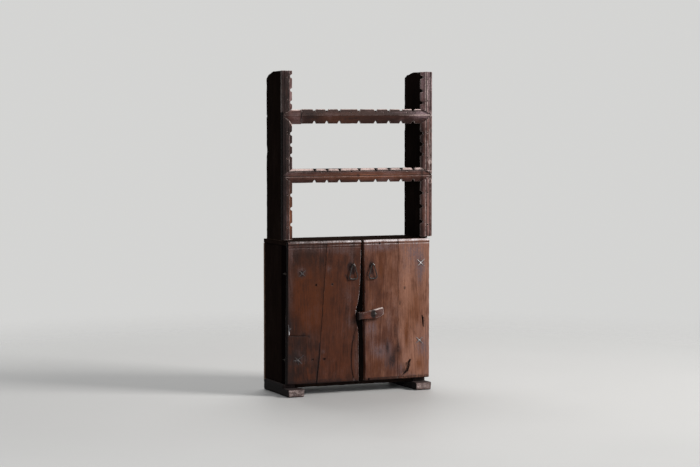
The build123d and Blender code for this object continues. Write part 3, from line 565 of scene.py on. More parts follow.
# A hammered bar along a path. Its flat side looks the way that face points.
def forgedBar(path, halfWidths, face, closed=False, sides=10, flat=1.0, seed=0.0):
    shape = bmesh.new()
    rings = []
    count = len(path)
    for i, place in enumerate(path):
        before = path[i - 1] if closed or i else place
        after = path[(i + 1) % count] if closed or i < count - 1 else place
        run = (after - before).normalized()
        side = run.cross(face).normalized()
        ring = []
        for a in range(sides):
            turn = math.tau * a / sides
            knock = 1 + 0.09 * noise.noise(Vector((i * 0.45 + seed, a * 0.9, seed)))
            reach = halfWidths[i] * knock
            spot = place + side * reach * math.cos(turn) + face * reach * flat * math.sin(turn)
            ring.append(shape.verts.new(spot))
        rings.append(ring)
    pairs = list(zip(rings, rings[1:])) + ([(rings[-1], rings[0])] if closed else [])
    for low, high in pairs:
        for a in range(sides):
            b = (a + 1) % sides
            shape.faces.new((low[a], low[b], high[b], high[a]))
    if not closed:
        shape.faces.new(rings[0][::-1])
        shape.faces.new(rings[-1])
    bmesh.ops.recalc_face_normals(shape, faces=shape.faces)
    return shape


# Doors

doorLow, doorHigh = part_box("right_door_outer_board")
doorFront = doorLow.y
doorTop = doorHigh.z
doorFoot = doorLow.z
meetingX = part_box("left_door_inner_board")[1].x
hingeX = -0.45  # the left door's outer edge
doorLook = {
    "steps": (0.0055, 0.013, 0.0065), "ease": 0.0025, "wave": 0.0009, "wear": 0.0015, "chips": 0.0022,
    "cup": 0.0008,
}
# Marks along a door's moulded top, down from its edge: middle, half width, strength. Rub and lip are pale
# wear with a painted highlight on the nosing and the lip below it, groove a pale line with a painted
# highlight, and under a painted shade below the nosing.
topMarks = {
    "rub": (0.0055, 0.009, 0.92), "lip": (0.026, 0.003, 0.62), "groove": (0.041, 0.004, 1.0),
    "under": (0.0205, 0.003, 0.45),
}
backFrom = 0.022  # behind the front, where a door's back begins


def dressBattens(door, seed):
    for i, place in enumerate(("upper", "lower")):
        dressBoard(f"{door}_{place}_batten", innerWood, door, battenLook | {"seed": seed + i})


def doorCalm(x, fromTop):  # 1 keeps an edge unworn, and below 0 it wears deeper
    if x < -0.43:
        return 1.0
    if 0.016 < fromTop < 0.055:
        return 0.75
    return -0.5 if -0.06 < x < 0.021 or x > 0.44 else 0.35


def faceMarks(p, patches, holes, light):  # age of a door's front, with painted light and shade; light scales the painted highlight and rubbing along its top edge
    if p.y > doorFront + backFrom:
        return {"dark": 0.25, "cool": 0.3}
    fromTop = doorTop - p.z
    ragged = 0.9 + 0.3 * noise.noise(Vector((p.x * 24, 0.0, p.z * 60)))
    rub, lip, groove, under = (
        strength * hump(fromTop, middle, half) for middle, half, strength in topMarks.values())
    groove = groove if p.x < meetingX else 0.0  # only the left door has this second groove
    foot = 0.9 * math.exp(-max(0.0, p.z - doorFoot) / 0.012)
    # painted shade along the left door's hinge edge
    rim = hump(p.x, hingeX, 0.006)
    hollow = max([hump(nearPath(p, outline + outline[:1]), 0.0, reach) for outline, reach in holes])
    # painted shade inside the holes, darker deeper in
    deep = 0.5 * clamp((p.y - doorFront - 0.002) / 0.006) if hollow > 0.02 else 0.0
    return {
        "depth": 0.0008 * hollow,
        "calm": max(hollow, doorCalm(p.x, fromTop)),
        "wear": min(1.0, ((rub + lip) * light + 0.36 * groove) * ragged + lineSum(p, patches["paleLines"])),
        "clean": groove,
        "grimeAndShade": min(1.0, max(hollow * 0.26, deep, rim)),
        "warm": patchSum(p, patches["warm"]),
        "cool": min(1.0, patchSum(p, patches["cool"]) + 0.35 * hump(fromTop, 0.0, 0.05)),
        # dark: stains and lines, painted shade under the nosing and along the hinge edge, and darker towards
        # the foot
        "dark": min(1.0, patchSum(p, patches["dark"]) + lineSum(p, patches["darkLines"])
                    + under + foot + rim),
        "glow": patchSum(p, patches["pale"]),
    }


# Left door

# Among the dark patches, those round the pull are painted shadow, those round the clinches painted shadow
# with rust stain.
leftPatches = {
    "warm": ((-0.335, 0.56, 0.095, 0.17, 1.3), (-0.275, 0.46, 0.06, 0.09, 0.6),
             (-0.34, 0.64, 0.05, 0.06, 0.5), (-0.19, 0.52, 0.08, 0.16, 0.5),
             (-0.12, 0.22, 0.09, 0.12, 0.45), (-0.2, 0.66, 0.06, 0.08, 0.4)),
    "cool": ((-0.189, 0.725, 0.022, 0.03, 0.8), (-0.049, 0.779, 0.02, 0.045, 0.7),
             (-0.059, 0.413, 0.028, 0.05, 0.7), (-0.07, 0.56, 0.03, 0.1, 0.6),
             (-0.357, 0.714, 0.034, 0.036, 0.9), (-0.43, 0.6, 0.022, 0.14, 0.7),
             (-0.38, 0.263, 0.055, 0.05, 0.4), (-0.383, 0.206, 0.06, 0.035, 0.7),
             (-0.437, 0.399, 0.02, 0.035, 0.9), (-0.226, 0.251, 0.02, 0.02, 0.6),
             (-0.3, 0.84, 0.16, 0.03, 0.5), (-0.02, 0.2, 0.02, 0.14, 0.7), (-0.42, 0.8, 0.03, 0.06, 0.6),
             (-0.1, 0.83, 0.1, 0.03, 0.6)),
    "dark": ((-0.357, 0.700, 0.026, 0.026, 0.6), (-0.383, 0.206, 0.032, 0.028, 0.7),
             (-0.347, 0.352, 0.022, 0.017, 0.55), (-0.375, 0.31, 0.016, 0.03, 0.5),
             (-0.437, 0.405, 0.018, 0.03, 0.75), (-0.043, 0.715, 0.03, 0.03, 0.5),
             (-0.07, 0.668, 0.008, 0.02, 0.6), (-0.44, 0.5, 0.014, 0.3, 0.5),
             (-0.051, 0.731, 0.015, 0.020, 1.2), (-0.043, 0.708, 0.011, 0.018, 0.9),
             (-0.313, 0.341, 0.009, 0.012, 0.8), (-0.36, 0.706, 0.012, 0.014, 0.6),
             (-0.404, 0.236, 0.03, 0.03, 0.5), (-0.058, 0.738, 0.014, 0.015, 1.4),
             (-0.27, 0.6361, 0.009, 0.009, 0.7), (-0.17, 0.6361, 0.009, 0.009, 0.7),
             (-0.2935, 0.2072, 0.009, 0.009, 0.7), (-0.2215, 0.2072, 0.009, 0.009, 0.7),
             (-0.43, 0.12, 0.03, 0.08, 0.35), (-0.24, 0.085, 0.2, 0.012, 0.3)),
    "pale": ((-0.38, 0.54, 0.07, 0.15, -0.2), (-0.16, 0.66, 0.06, 0.1, 0.1), (-0.13, 0.36, 0.05, 0.1, 0.1),
             (-0.42, 0.3, 0.05, 0.2, -0.12), (-0.3, 0.82, 0.14, 0.03, -0.06)),
    "darkLines": (([(-0.246, 0.3), (-0.25, 0.215), (-0.261, 0.14), (-0.268, 0.07)], 0.0045, 1.3),
                  ([(-0.087, 0.69), (-0.079, 0.670), (-0.060, 0.661), (-0.03, 0.661)], 0.004, 0.6),
                  ([(-0.012, 0.40), (-0.023, 0.355), (-0.043, 0.29), (-0.051, 0.232), (-0.049, 0.16),
                    (-0.04, 0.086)], 0.003, 0.8)),
    "paleLines": (([(-0.241, 0.245), (-0.243, 0.2), (-0.253, 0.14), (-0.258, 0.11)], 0.003, 0.34),),
}
strapLine = ((-0.448, 0.350), (-0.42, 0.3487), (-0.385, 0.3462), (-0.35, 0.3452), (-0.316, 0.3438))
leftHoles = [(crackOutline(strapLine, 0.0007), 0.002)]  # outlines and how far their dirt reaches
seamEnds = 0.02  # above a door's foot and under its top, where its seams stop being fine


def leftFace(p, normal):
    marks = faceMarks(p, leftPatches, leftHoles, 0.5 + 0.8 * (p.x - hingeX))
    edge = max(0.0, -normal.x) ** 2 if p.x < -0.42 else 0.0  # painted shade: faces turned to the left at the outer edge are black
    return marks | {"dark": max(marks["dark"], edge), "grimeAndShade": max(marks.get("grimeAndShade", 0.0), edge)}


def leftSeam(p):  # the edges along the joints between the boards
    middle = -0.29 < p.x < -0.19
    splice = -0.06 < p.x < -0.012 and p.z < 0.45
    return (middle or splice) and doorFoot + seamEnds < p.z < doorTop - seamEnds


leftLook = doorLook | {"feature": leftFace, "fine": leftSeam}
leftCutters = [outlineCutter(leftHoles[0][0], 0.0008, doorFront)]
# The boards' tones rise towards the right across both doors: partly the wood's own colour, partly painted
# shade falling off away from the light.
dressBoard("left_door_outer_board", leftDoorWood, "left_door",
           leftLook | {"seed": 2.0, "tone": 0.19, "pith": (0.03, 0.06, 0.03)}, leftCutters)
dressBoard("left_door_inner_board", leftDoorWood, "left_door",
           leftLook | {"seed": 3.0, "tone": 0.32, "pith": (-0.03, 0.05, -0.04)})
dressBoard("left_door_splice", leftDoorWood, "left_door",
           leftLook | {"seed": 4.0, "tone": 0.36, "pith": (0.05, 0.03, 0.0), "wave": 0.0005, "ease": 0.0016})
dressBattens("left_door", 5.0)
dressBoard("left_door_pegs", pegWood, "left_door", pegLook | {"along": "y"})

# Remains of an older pin: two bright tails at the door's hinge edge.
oldPin = {
    "tails": (((-0.4365, 0.354), (-0.4355, 0.363), (-0.4360, 0.376), (-0.4385, 0.394), (-0.4405, 0.415)),
              ((-0.4370, 0.381), (-0.4310, 0.3885), (-0.4230, 0.3925))),
    "halfWidth": 0.0034, "endShare": 0.6, "flat": 0.5, "proud": 0.0002,
    "brightTo": 0.376, "lowWear": 0.6, "highWear": 0.3,
}
for i, tail in enumerate(oldPin["tails"]):
    path = [Vector((x, doorFront - oldPin["proud"], z)) for x, z in tail]
    widths = [oldPin["halfWidth"]] * len(tail)
    widths[0] = widths[-1] = oldPin["halfWidth"] * oldPin["endShare"]
    bar = meshOf(forgedBar(path, widths, outward, flat=oldPin["flat"], seed=i), f"old_pin_tail_{i + 1}")
    rows = [(oldPin["lowWear"] if v.co.z < oldPin["brightTo"] else oldPin["highWear"], 0.0, 0.5)
            for v in bar.vertices]
    setAttributes(bar, {"finishAndPaintedLight": rows})
    placePiece(bar, forgedIron, "left_door")
print("left door made")

# Right door

knotHole = [(0.329, 0.180), (0.328, 0.171), (0.321, 0.161), (0.3215, 0.144), (0.317, 0.124), (0.312, 0.112),
            (0.298, 0.101), (0.279, 0.092), (0.286, 0.103), (0.295, 0.112), (0.302, 0.125), (0.3035, 0.140),
            (0.297, 0.150), (0.298, 0.159), (0.306, 0.164), (0.314, 0.171), (0.321, 0.179)]
edgeSlit = [(0.399, 0.436), (0.4035, 0.433), (0.4095, 0.420), (0.411, 0.405), (0.4105, 0.385), (0.412, 0.369),
            (0.4075, 0.376), (0.4045, 0.395), (0.402, 0.415)]
topNotch = holeOutline(0.128, 0.8655, 0.0048)
footHole = holeOutline(0.061, 0.0765, 0.0042)
# Among the dark patches, those round the pull and inside its loop are painted shadow, those round the
# clinches painted shadow with rust stain.
rightPatches = {
    "warm": ((0.135, 0.737, 0.022, 0.11, 0.8), (0.193, 0.7, 0.03, 0.14, 0.5),
             (0.301, 0.321, 0.014, 0.09, 0.95), (0.36, 0.5, 0.05, 0.13, 0.5),
             (0.385, 0.155, 0.04, 0.06, 0.8), (0.33, 0.45, 0.05, 0.13, 0.5),
             (0.245, 0.57, 0.03, 0.24, 0.35), (0.1, 0.16, 0.06, 0.1, 0.4), (0.09, 0.5, 0.05, 0.1, 0.3)),
    "cool": ((0.359, 0.808, 0.07, 0.06, 0.8), (0.391, 0.719, 0.035, 0.065, 0.85),
             (0.386, 0.65, 0.025, 0.07, 0.6), (0.178, 0.258, 0.03, 0.05, 0.75),
             (0.13, 0.231, 0.04, 0.05, 0.75), (0.199, 0.169, 0.034, 0.05, 0.85),
             (0.263, 0.127, 0.032, 0.04, 0.7), (0.39, 0.249, 0.035, 0.055, 0.9),
             (0.428, 0.25, 0.018, 0.2, 0.6), (0.08, 0.69, 0.035, 0.04, 0.5), (0.12, 0.84, 0.14, 0.03, 0.7),
             (0.075, 0.38, 0.05, 0.05, 0.75), (0.08, 0.27, 0.035, 0.08, 0.5), (0.19, 0.4, 0.03, 0.1, 0.5),
             (0.3, 0.72, 0.05, 0.1, 0.45), (0.25, 0.35, 0.02, 0.08, 0.5), (0.33, 0.09, 0.1, 0.02, 0.5)),
    "dark": ((0.231, 0.354, 0.012, 0.045, 0.6), (0.178, 0.258, 0.012, 0.045, 0.85),
             (0.247, 0.245, 0.02, 0.032, 0.7), (0.199, 0.169, 0.03, 0.04, 0.7),
             (0.135, 0.235, 0.02, 0.02, 0.4), (0.289, 0.601, 0.007, 0.010, 0.9),
             (0.26, 0.514, 0.007, 0.016, 0.85), (0.384, 0.288, 0.022, 0.02, 0.5),
             (0.386, 0.752, 0.026, 0.024, 0.45), (0.246, 0.87, 0.010, 0.014, 0.6),
             (0.29, 0.112, 0.03, 0.02, 0.6), (0.083, 0.7, 0.012, 0.022, 0.8),
             (0.073, 0.735, 0.012, 0.026, 1.4), (0.088, 0.425, 0.06, 0.012, 0.5),
             (0.042, 0.45, 0.008, 0.42, 0.35), (0.285, 0.15, 0.008, 0.03, 0.4),
             (0.409, 0.40, 0.012, 0.04, 0.5), (0.22, 0.2, 0.02, 0.05, 0.4),
             (0.246, 0.296, 0.014, 0.03, 0.3)),
    "pale": ((0.29, 0.6, 0.035, 0.12, 0.16), (0.356, 0.174, 0.04, 0.05, 0.16),
             (0.284, 0.33, 0.03, 0.08, 0.14), (0.322, 0.82, 0.1, 0.03, 0.12),
             (0.208, 0.228, 0.04, 0.08, -0.2), (0.13, 0.16, 0.04, 0.06, -0.1),
             (0.105, 0.6, 0.04, 0.1, -0.1), (0.17, 0.43, 0.05, 0.08, 0.1), (0.34, 0.52, 0.05, 0.06, 0.1),
             (0.19, 0.755, 0.03, 0.06, 0.12), (0.26, 0.108, 0.05, 0.03, -0.12),
             (0.41, 0.5, 0.02, 0.12, -0.08)),
    "darkLines": (([(0.061, 0.674), (0.05, 0.69), (0.056, 0.715)], 0.004, 0.55),
                  ([(0.052, 0.0785), (0.25, 0.081), (0.44, 0.083)], 0.004, 0.5)),
    "paleLines": (([(0.262, 0.33), (0.269, 0.45), (0.266, 0.6), (0.262, 0.7)], 0.0035, 0.16),
                    ([(0.392, 0.335), (0.399, 0.36), (0.398, 0.40)], 0.004, 0.2)),
}
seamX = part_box("right_door_outer_board")[0].x
rightHoles = [(knotHole, 0.005), (edgeSlit, 0.004), (topNotch, 0.0025), (footHole, 0.0025)]


def rightFace(p, normal):  # the two boards grow alike towards their joint
    marks = faceMarks(p, rightPatches, rightHoles, 1.0)
    blend = (0.14 if p.x < seamX else -0.10) * math.exp(-abs(p.x - seamX) / 0.03)
    return marks | {"glow": marks.get("glow", 0.0) + blend}


def rightSeam(p):
    return 0.24 < p.x < 0.255 and doorFoot + seamEnds < p.z < doorTop - seamEnds


rightLook = doorLook | {"feature": rightFace, "fine": rightSeam, "seamDirt": 0.1}
dressBoard("right_door_inner_board", rightDoorWood, "right_door",
           rightLook | {"seed": 7.0, "tone": 0.52, "pith": (0.02, 0.06, -0.03)},
           [outlineCutter(topNotch, 0.006, doorFront), outlineCutter(footHole, 0.009, doorFront)])
# The outer board's higher tone is partly painted light.
dressBoard("right_door_outer_board", rightDoorWood, "right_door",
           rightLook | {"seed": 8.0, "tone": 0.8, "pith": (-0.02, 0.07, 0.05)},
           [outlineCutter(knotHole, 0.011, doorFront, 0.5), outlineCutter(edgeSlit, 0.008, doorFront)])
dressBattens("right_door", 9.0)
print("right door made")

# Latch

pinLow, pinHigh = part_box("latch_pin")
pinX, pinZ = (pinLow.x + pinHigh.x) / 2, (pinLow.z + pinHigh.z) / 2
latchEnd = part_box("latch_bar")[0].x
latchSpans = {"shortArm": 0.055, "longEnd": 0.05, "pinShadow": 0.013, "pinFade": 0.007}


def latchWearAndShade(p, normal):  # pale along the top, rubbing with a painted highlight; painted shadow round the pin; painted shade darkening towards the long arm's end
    up = max(0.0, normal.z)
    side = (p.x - pinX) / latchSpans["shortArm"]  # 0 at the pin, 1 at the short arm's end
    nearPin = math.hypot(p.x - pinX + 0.008, (p.z - pinZ) * 0.8)
    shadow = hump(max(0.0, nearPin - latchSpans["pinShadow"]), 0.0, latchSpans["pinFade"])
    shadow *= 1.0 if p.x < pinX + 0.002 else 0.3
    left = clamp((latchEnd + latchSpans["longEnd"] - p.x) / latchSpans["longEnd"])
    mottle = 0.5 + 0.5 * noise.noise(Vector((p.x * 120, 7.0, p.z * 160)))
    return {
        "wear": min(1.0, up * (0.8 + 0.5 * side) + max(0.0, side) * 0.42 * mottle),
        "grimeAndShade": 0.95 * shadow,
        "cool": 0.55 * clamp(side + 0.2),
        "warm": 0.8 * clamp(-side * 1.6) * (1 - left),
        "dark": 0.95 * left * (1 - up),
        "calm": 0.8 if side < 0.1 and up < 0.3 else 0.0,
        "glow": 0.25 * side,
        "depth": 0.0012 * max(0.0, noise.noise(Vector((p.x * 60, p.y * 60, p.z * 60)))),
    }


dressBoard("latch_bar", latchWood, "latch", {
    "along": "x", "steps": (0.003, 0.003, 0.003), "ease": 0.002, "shortest": 0.004, "wave": 0.0008,
    "wear": 0.0012, "chips": 0.0015, "tone": 0.42, "seed": 11.0, "pith": (0.02, 0.03, 0.0),
    "feature": latchWearAndShade,
})
print("latch made")

# Carcass

carcassLook = {
    "steps": (0.0, 0.012, 0.014), "ease": 0.003, "wave": 0.0013, "wear": 0.002, "chips": 0.003,
    "rub": 0.5, "tone": 0.45,
}
runnerLook = {
    "along": "y", "steps": (0.006, 0.006, 0.006), "ease": 0.008, "wave": 0.003, "wear": 0.005,
    "chips": 0.008, "pith": (0.03, 0.02, 0.0),
}
backLook = {"steps": (0.015, 0, 0.02), "ease": 0.0006, "wear": 0.0004, "chips": 0.0004, "tone": 0.3}
shelfLook = {"along": "x", "steps": (0.02, 0.02, 0)}
floorDirt = 0.012  # how high the floor's dirt reaches on the runners
sideShadeSpan = {"start": -0.07, "fade": 0.02}  # painted shade: y where a side board starts to darken towards its front edge


def toeScuffAndShade(p, normal):  # pale in front, scuffs with painted light; painted shade on every other face
    front = max(0.0, -normal.y) ** 2 if p.y < doorFront else 0.0
    mottle = 0.8 + 0.6 * noise.noise(Vector((p.x * 40, 3.0, p.z * 60)))
    low = 0.5 * max(0.0, floorDirt - p.z) / floorDirt
    beside = 0.85 * min(1.0, abs(normal.x)) if front < 0.3 else 0.0
    return {"wear": 0.5 * front * mottle, "calm": 0.7, "cool": 0.4 * front, "dark": 1.0 - front,
            "grimeAndShade": max(low, beside)}


def sideFrontShade(p, normal):  # painted shade: the front edges beside the doors are black
    front = clamp((sideShadeSpan["start"] - p.y) / sideShadeSpan["fade"])
    return {"grimeAndShade": front, "dark": front}


for i, side in enumerate(("left", "right")):
    dressBoard(side + "_side_board", carcassWood, "cabinet",
               carcassLook | {"seed": 12.0 + i, "rub": 0.1, "feature": sideFrontShade})
    dressBoard(side + "_runner", runnerWood, "cabinet",
               runnerLook | {"seed": 14.0 + i, "tone": 0.3 + 0.12 * i, "feature": toeScuffAndShade})
    dressBoard(side + "_shelf_cleat", innerWood, "cabinet",
               {"along": "y", "steps": (0, 0.02, 0), "seed": 16.0 + i})
dressBoard("lid_board", carcassWood, "cabinet", carcassLook | {
    "along": "x", "steps": (0.014, 0.012, 0), "seed": 18.0, "tone": 0.55, "wave": 0.0005})
dressBoard("bottom_board", carcassWood, "cabinet",
           carcassLook | {"along": "x", "steps": (0.014, 0.014, 0), "seed": 19.0, "tone": 0.5})
dressBoard("inner_shelf", innerWood, "cabinet", shelfLook | {"seed": 20.0})
dressBoard("centre_post", postWood, "cabinet", {"steps": (0.01, 0, 0.015), "seed": 21.0})
for i, place in enumerate(("left", "middle", "right")):
    dressBoard("back_board_" + place, innerWood, "cabinet",
               backLook | {"seed": 22.0 + i, "pith": (0.04 - 0.03 * i, 0.06, 0.03)})
print("carcass made")

# Rack

panelLook = {
    "seated": True, "steps": (0, 0.012, 0.014), "ease": 0.0025, "wave": 0.0011, "wear": 0.002,
    "chips": 0.0025, "tone": 0.45,
}
mouldingLook = {"ease": 0.0011, "shortest": 0.004, "wave": 0.0004, "wear": 0.0010, "chips": 0.0014}
rackMarks = {
    # Rubbed patches and pale lines: wear with painted highlights on lit top edges, bevels, the mitre and the
    # carved rings on the right stile. The dark lines are painted shade in the gap at the broken rail end and
    # under a carved line.
    "rubbedAndLit": ((-0.38, 1.638, 0.028, 0.006, 1.0), (0.436, 1.75, 0.02, 0.12, 0.4),
               (0.452, 1.4, 0.012, 0.15, 0.4), (0.34, 1.64, 0.07, 0.005, 0.7),
               (0.4, 1.607, 0.08, 0.004, 0.5), (-0.418, 1.82, 0.008, 0.04, 0.5),
               (-0.407, 1.72, 0.004, 0.05, 0.5)),
    "paleLines": (([(-0.431, 1.579), (-0.4175, 1.562), (-0.404, 1.545)], 0.0022, 1.0),
                    ([(0.432, 1.2825), (0.452, 1.281), (0.468, 1.281)], 0.0022, 0.6),
                    ([(0.446, 1.222), (0.449, 1.232), (0.457, 1.236), (0.465, 1.232), (0.468, 1.222),
                      (0.465, 1.212), (0.457, 1.208), (0.449, 1.212), (0.446, 1.222)], 0.003, 0.6),
                    ([(0.449, 1.333), (0.452, 1.341), (0.461, 1.341), (0.465, 1.333), (0.461, 1.325),
                      (0.452, 1.325), (0.449, 1.333)], 0.003, 0.5)),
    "darkLines": (([(0.426, 1.2775), (0.452, 1.2765), (0.469, 1.2765)], 0.0025, 0.9),
                  ([(-0.352, 1.638), (-0.354, 1.56)], 0.0035, 1.0)),
    # pale: tone, with painted light on the left top stile's inner bevel and painted shade on the right
    # stile's inner bevel and the left stiles' outer sides
    "pale": ((-0.415, 1.74, 0.013, 0.1, 0.5), (0.412, 1.74, 0.014, 0.12, 0.36),
             (0.452, 1.76, 0.02, 0.1, -0.1), (0.40, 1.61, 0.09, 0.04, 0.25),
             (-0.38, 1.61, 0.03, 0.04, 0.12), (-0.446, 1.75, 0.014, 0.12, -0.25),
             (0.45, 1.05, 0.02, 0.12, 0.14), (0.407, 1.1, 0.009, 0.35, -0.4),
             (0.407, 1.46, 0.009, 0.1, -0.4), (0.424, 1.1, 0.006, 0.3, 0.2),
             (0.424, 1.46, 0.006, 0.12, 0.2), (-0.447, 1.1, 0.014, 0.3, -0.3),
             (-0.447, 1.45, 0.014, 0.2, -0.3), (-0.432, 1.75, 0.006, 0.12, -0.3)),
    # dark: stains, with painted shade on the left stiles' outer sides and the right stile's inner bevel
    "dark": ((-0.3, 1.60, 0.05, 0.03, 0.6), (-0.46, 1.12, 0.012, 0.4, 0.8), (-0.46, 1.45, 0.012, 0.2, 0.8),
             (-0.462, 1.8, 0.010, 0.09, 0.6), (0.408, 1.1, 0.008, 0.4, 0.5), (0.408, 1.46, 0.008, 0.1, 0.5),
             (-0.05, 1.585, 0.2, 0.02, 0.5), (0.469, 1.515, 0.007, 0.011, 1.3),
             (0.0, 1.262, 0.012, 0.01, 0.8), (-0.44, 1.45, 0.03, 0.12, 0.35), (-0.44, 1.8, 0.03, 0.1, 0.3)),
    "warm": ((0.05, 1.255, 0.34, 0.02, 0.8), (-0.42, 1.05, 0.016, 0.12, 0.8), (0.43, 1.05, 0.03, 0.1, 0.45),
             (-0.05, 1.6, 0.3, 0.04, 0.2), (-0.1, 1.58, 0.12, 0.02, 0.25), (0.43, 1.45, 0.02, 0.1, 0.25)),
    "cool": ((-0.38, 1.6, 0.04, 0.03, 0.6), (0.44, 1.77, 0.05, 0.12, 1.0), (0.25, 1.62, 0.1, 0.01, 0.4),
             (0.44, 1.4, 0.03, 0.1, 0.4), (0.40, 1.61, 0.09, 0.035, 0.7), (-0.417, 1.74, 0.012, 0.1, 0.7)),
}
stileInner = 0.404
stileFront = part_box("rack_right_stile_top")[0].y
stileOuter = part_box("rack_right_stile_top")[1].x
# Bands across a stile from its inner edge: middle, half width, wear with a painted highlight on the beads,
# grime with painted shade in the grooves.
stileBands = ((0.001, 0.002, 0.5, 0.0), (0.0245, 0.0025, 0.75, 0.0), (0.0285, 0.0022, 0.0, 0.95),
              (0.034, 0.002, 0.45, 0.0), (0.047, 0.002, 0.5, 0.0), (0.0505, 0.002, 0.0, 0.95),
              (0.058, 0.004, 0.45, 0.0), (0.066, 0.002, 0.3, 0.0))
# Bands down each rail from its top: middle, half width, wear with a painted highlight on the top edge and
# beads, grime with painted shade in the grooves.
railBands = {
    "rack_upper_rail": ((0.001, 0.003, 1.0, 0.0), (0.035, 0.002, 0.55, 0.0), (0.03, 0.012, 0.0, 0.25),
                        (0.082, 0.002, 0.3, 0.0)),
    "rack_lower_rail": ((0.005, 0.010, 1.0, 0.0), (0.0165, 0.0022, 0.0, 0.95), (0.021, 0.0015, 0.5, 0.0),
                        (0.048, 0.0015, 0.6, 0.0), (0.0435, 0.002, 0.0, 0.8), (0.056, 0.0018, 0.4, 0.0),
                        (0.08, 0.002, 0.35, 0.0)),
}
railBands["rack_upper_rail_end"] = railBands["rack_upper_rail"]


def mouldingAge(top=None, bands=stileBands, light=1.0):  # top: a rail's top; without it, a stile
    def feature(p, normal):
        place = top - p.z if top else abs(p.x) - stileInner
        ragged = 0.88 + (0.2 if top else 0.5) * noise.noise(Vector((p.x * 70, p.y * 30, p.z * 70)))
        wear = grimeAndShade = 0.0
        for middle, half, rubbedAndLit, dirtAndShade in bands if p.y < stileFront + 0.02 else ():
            near = hump(place, middle, half)
            wear, grimeAndShade = max(wear, rubbedAndLit * near), max(grimeAndShade, dirtAndShade * near)
        outer = hump(abs(p.x), stileOuter, 0.005) if p.x < 0 and p.z < 1.62 else 0.0  # painted shade on the left stiles' outer edge
        wear = wear * light * ragged + patchSum(p, rackMarks["rubbedAndLit"]) + lineSum(p, rackMarks["paleLines"])
        shaded = patchSum(p, rackMarks["dark"]) + lineSum(p, rackMarks["darkLines"]) + outer
        return {
            "wear": min(1.0, wear * (1 - outer)), "grimeAndShade": max(grimeAndShade, outer * 0.8), "calm": outer,
            "dark": min(1.0, shaded), "glow": patchSum(p, rackMarks["pale"]),
            "warm": patchSum(p, rackMarks["warm"]), "cool": patchSum(p, rackMarks["cool"]),
        }
    return feature


# The left stiles are toned darker as painted shade, and stileLight dims their painted highlights.
stileTones = {"left": (0.24, 0.16, 0.24), "right": (0.57, 0.52, 0.36)}  # bottom, middle, top
stileLight = {"left": 0.7, "right": 1.0}
for i, side in enumerate(("left", "right")):
    dressBoard(f"rack_{side}_panel", carcassWood, "cabinet", panelLook | {"seed": 25.0 + i})
    for j, place in enumerate(("bottom", "middle", "top")):
        dressBoard(f"rack_{side}_stile_{place}", rackWood, "cabinet", mouldingLook | {
            "steps": (0.002, 0, 0.006), "seed": 27.0 + 3 * i + j, "tone": stileTones[side][j],
            "feature": mouldingAge(light=stileLight[side])})
for i, node in enumerate(("rack_upper_shelf", "rack_lower_shelf")):
    dressBoard(node, carcassWood, "cabinet", shelfLook | {"seed": 33.0 + i})
railTones = {"rack_upper_rail": 0.03, "rack_upper_rail_end": 0.36, "rack_lower_rail": 0.27}
for i, (node, tone) in enumerate(railTones.items()):
    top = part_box(node)[1].z
    dressBoard(node, rackWood, "cabinet", mouldingLook | {
        "along": "x", "steps": (0.006, 0, 0.002), "seed": 35.0 + i, "tone": tone,
        "feature": mouldingAge(top, railBands[node])})
for node in ("rack_pegs", "rack_dowels", "lid_pegs"):
    along = "y" if node == "rack_pegs" else "z"
    dressBoard(node, pegWood, "cabinet", pegLook | {"along": along})
print("rack made")

# Irons

for node, body in (("left_side_hinge_pins", "cabinet"), ("right_side_hinge_pins", "cabinet"),
                   ("left_door_hinge_pins", "left_door"), ("right_door_hinge_pins", "right_door")):
    dressIron(node, hingeIron, body)
dressIron("latch_pin", handledIron, "right_door", {"dents": 0.00025})
for side in ("left", "right"):
    dressIron(f"{side}_pull_eye", handledIron, f"{side}_door", {"dents": 0.00035})
for node in ("back_nails", "right_door_nails"):
    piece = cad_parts[node]
    piece.data.materials.clear()
    piece.data.materials.append(forgedIron)

# Clinched tails of the hinge pins on the door fronts: body, x, z, wear with a painted glint, then each arm's
# angle and length.
clinches = {
    "left_upper": ("left_door", -0.355, 0.703, 0.22, ((42, 0.030), (140, 0.018), (222, 0.026), (318, 0.014))),
    "left_lower": ("left_door", -0.383, 0.207, 0.28,
                   ((38, 0.046), (140, 0.016), (187, 0.028), (322, 0.032), (280, 0.028))),
    "right_upper": ("right_door", 0.393, 0.745, 0.62,
                    ((42, 0.032), (139, 0.033), (222, 0.026), (320, 0.027))),
    "right_lower": ("right_door", 0.385, 0.290, 0.5, ((38, 0.030), (142, 0.028), (218, 0.030), (322, 0.028))),
}
clinchLook = {
    "root": 0.0028, "tip": 0.0013, "flat": 0.42, "proud": 0.0014, "sink": 0.0008, "bend": 0.0012, "points": 6,
}
for name, (body, x, z, wear, arms) in clinches.items():
    for number, (angle, length) in enumerate(arms):
        turn = math.radians(angle)
        path, widths = [], []
        for k in range(clinchLook["points"] + 1):
            share = k / clinchLook["points"]
            bend = clinchLook["bend"] * math.sin(math.pi * share + number)
            reach = length * share
            path.append(Vector((x + reach * math.cos(turn) - bend * math.sin(turn),
                                doorFront - clinchLook["proud"] + clinchLook["sink"] * share * share,
                                z + reach * math.sin(turn) + bend * math.cos(turn))))
            widths.append(clinchLook["root"] + (clinchLook["tip"] - clinchLook["root"]) * share)
        arm = forgedBar(path, widths, outward, flat=clinchLook["flat"], seed=number + x * 40)
        arm = meshOf(arm, f"clinch_{name}_{number + 1}")
        rows = [(wear - 0.2 * abs(v.co.z - z) / length, 0.0, 0.5) for v in arm.vertices]
        setAttributes(arm, {"finishAndPaintedLight": rows})
        placePiece(arm, forgedIron, body, (), 60)

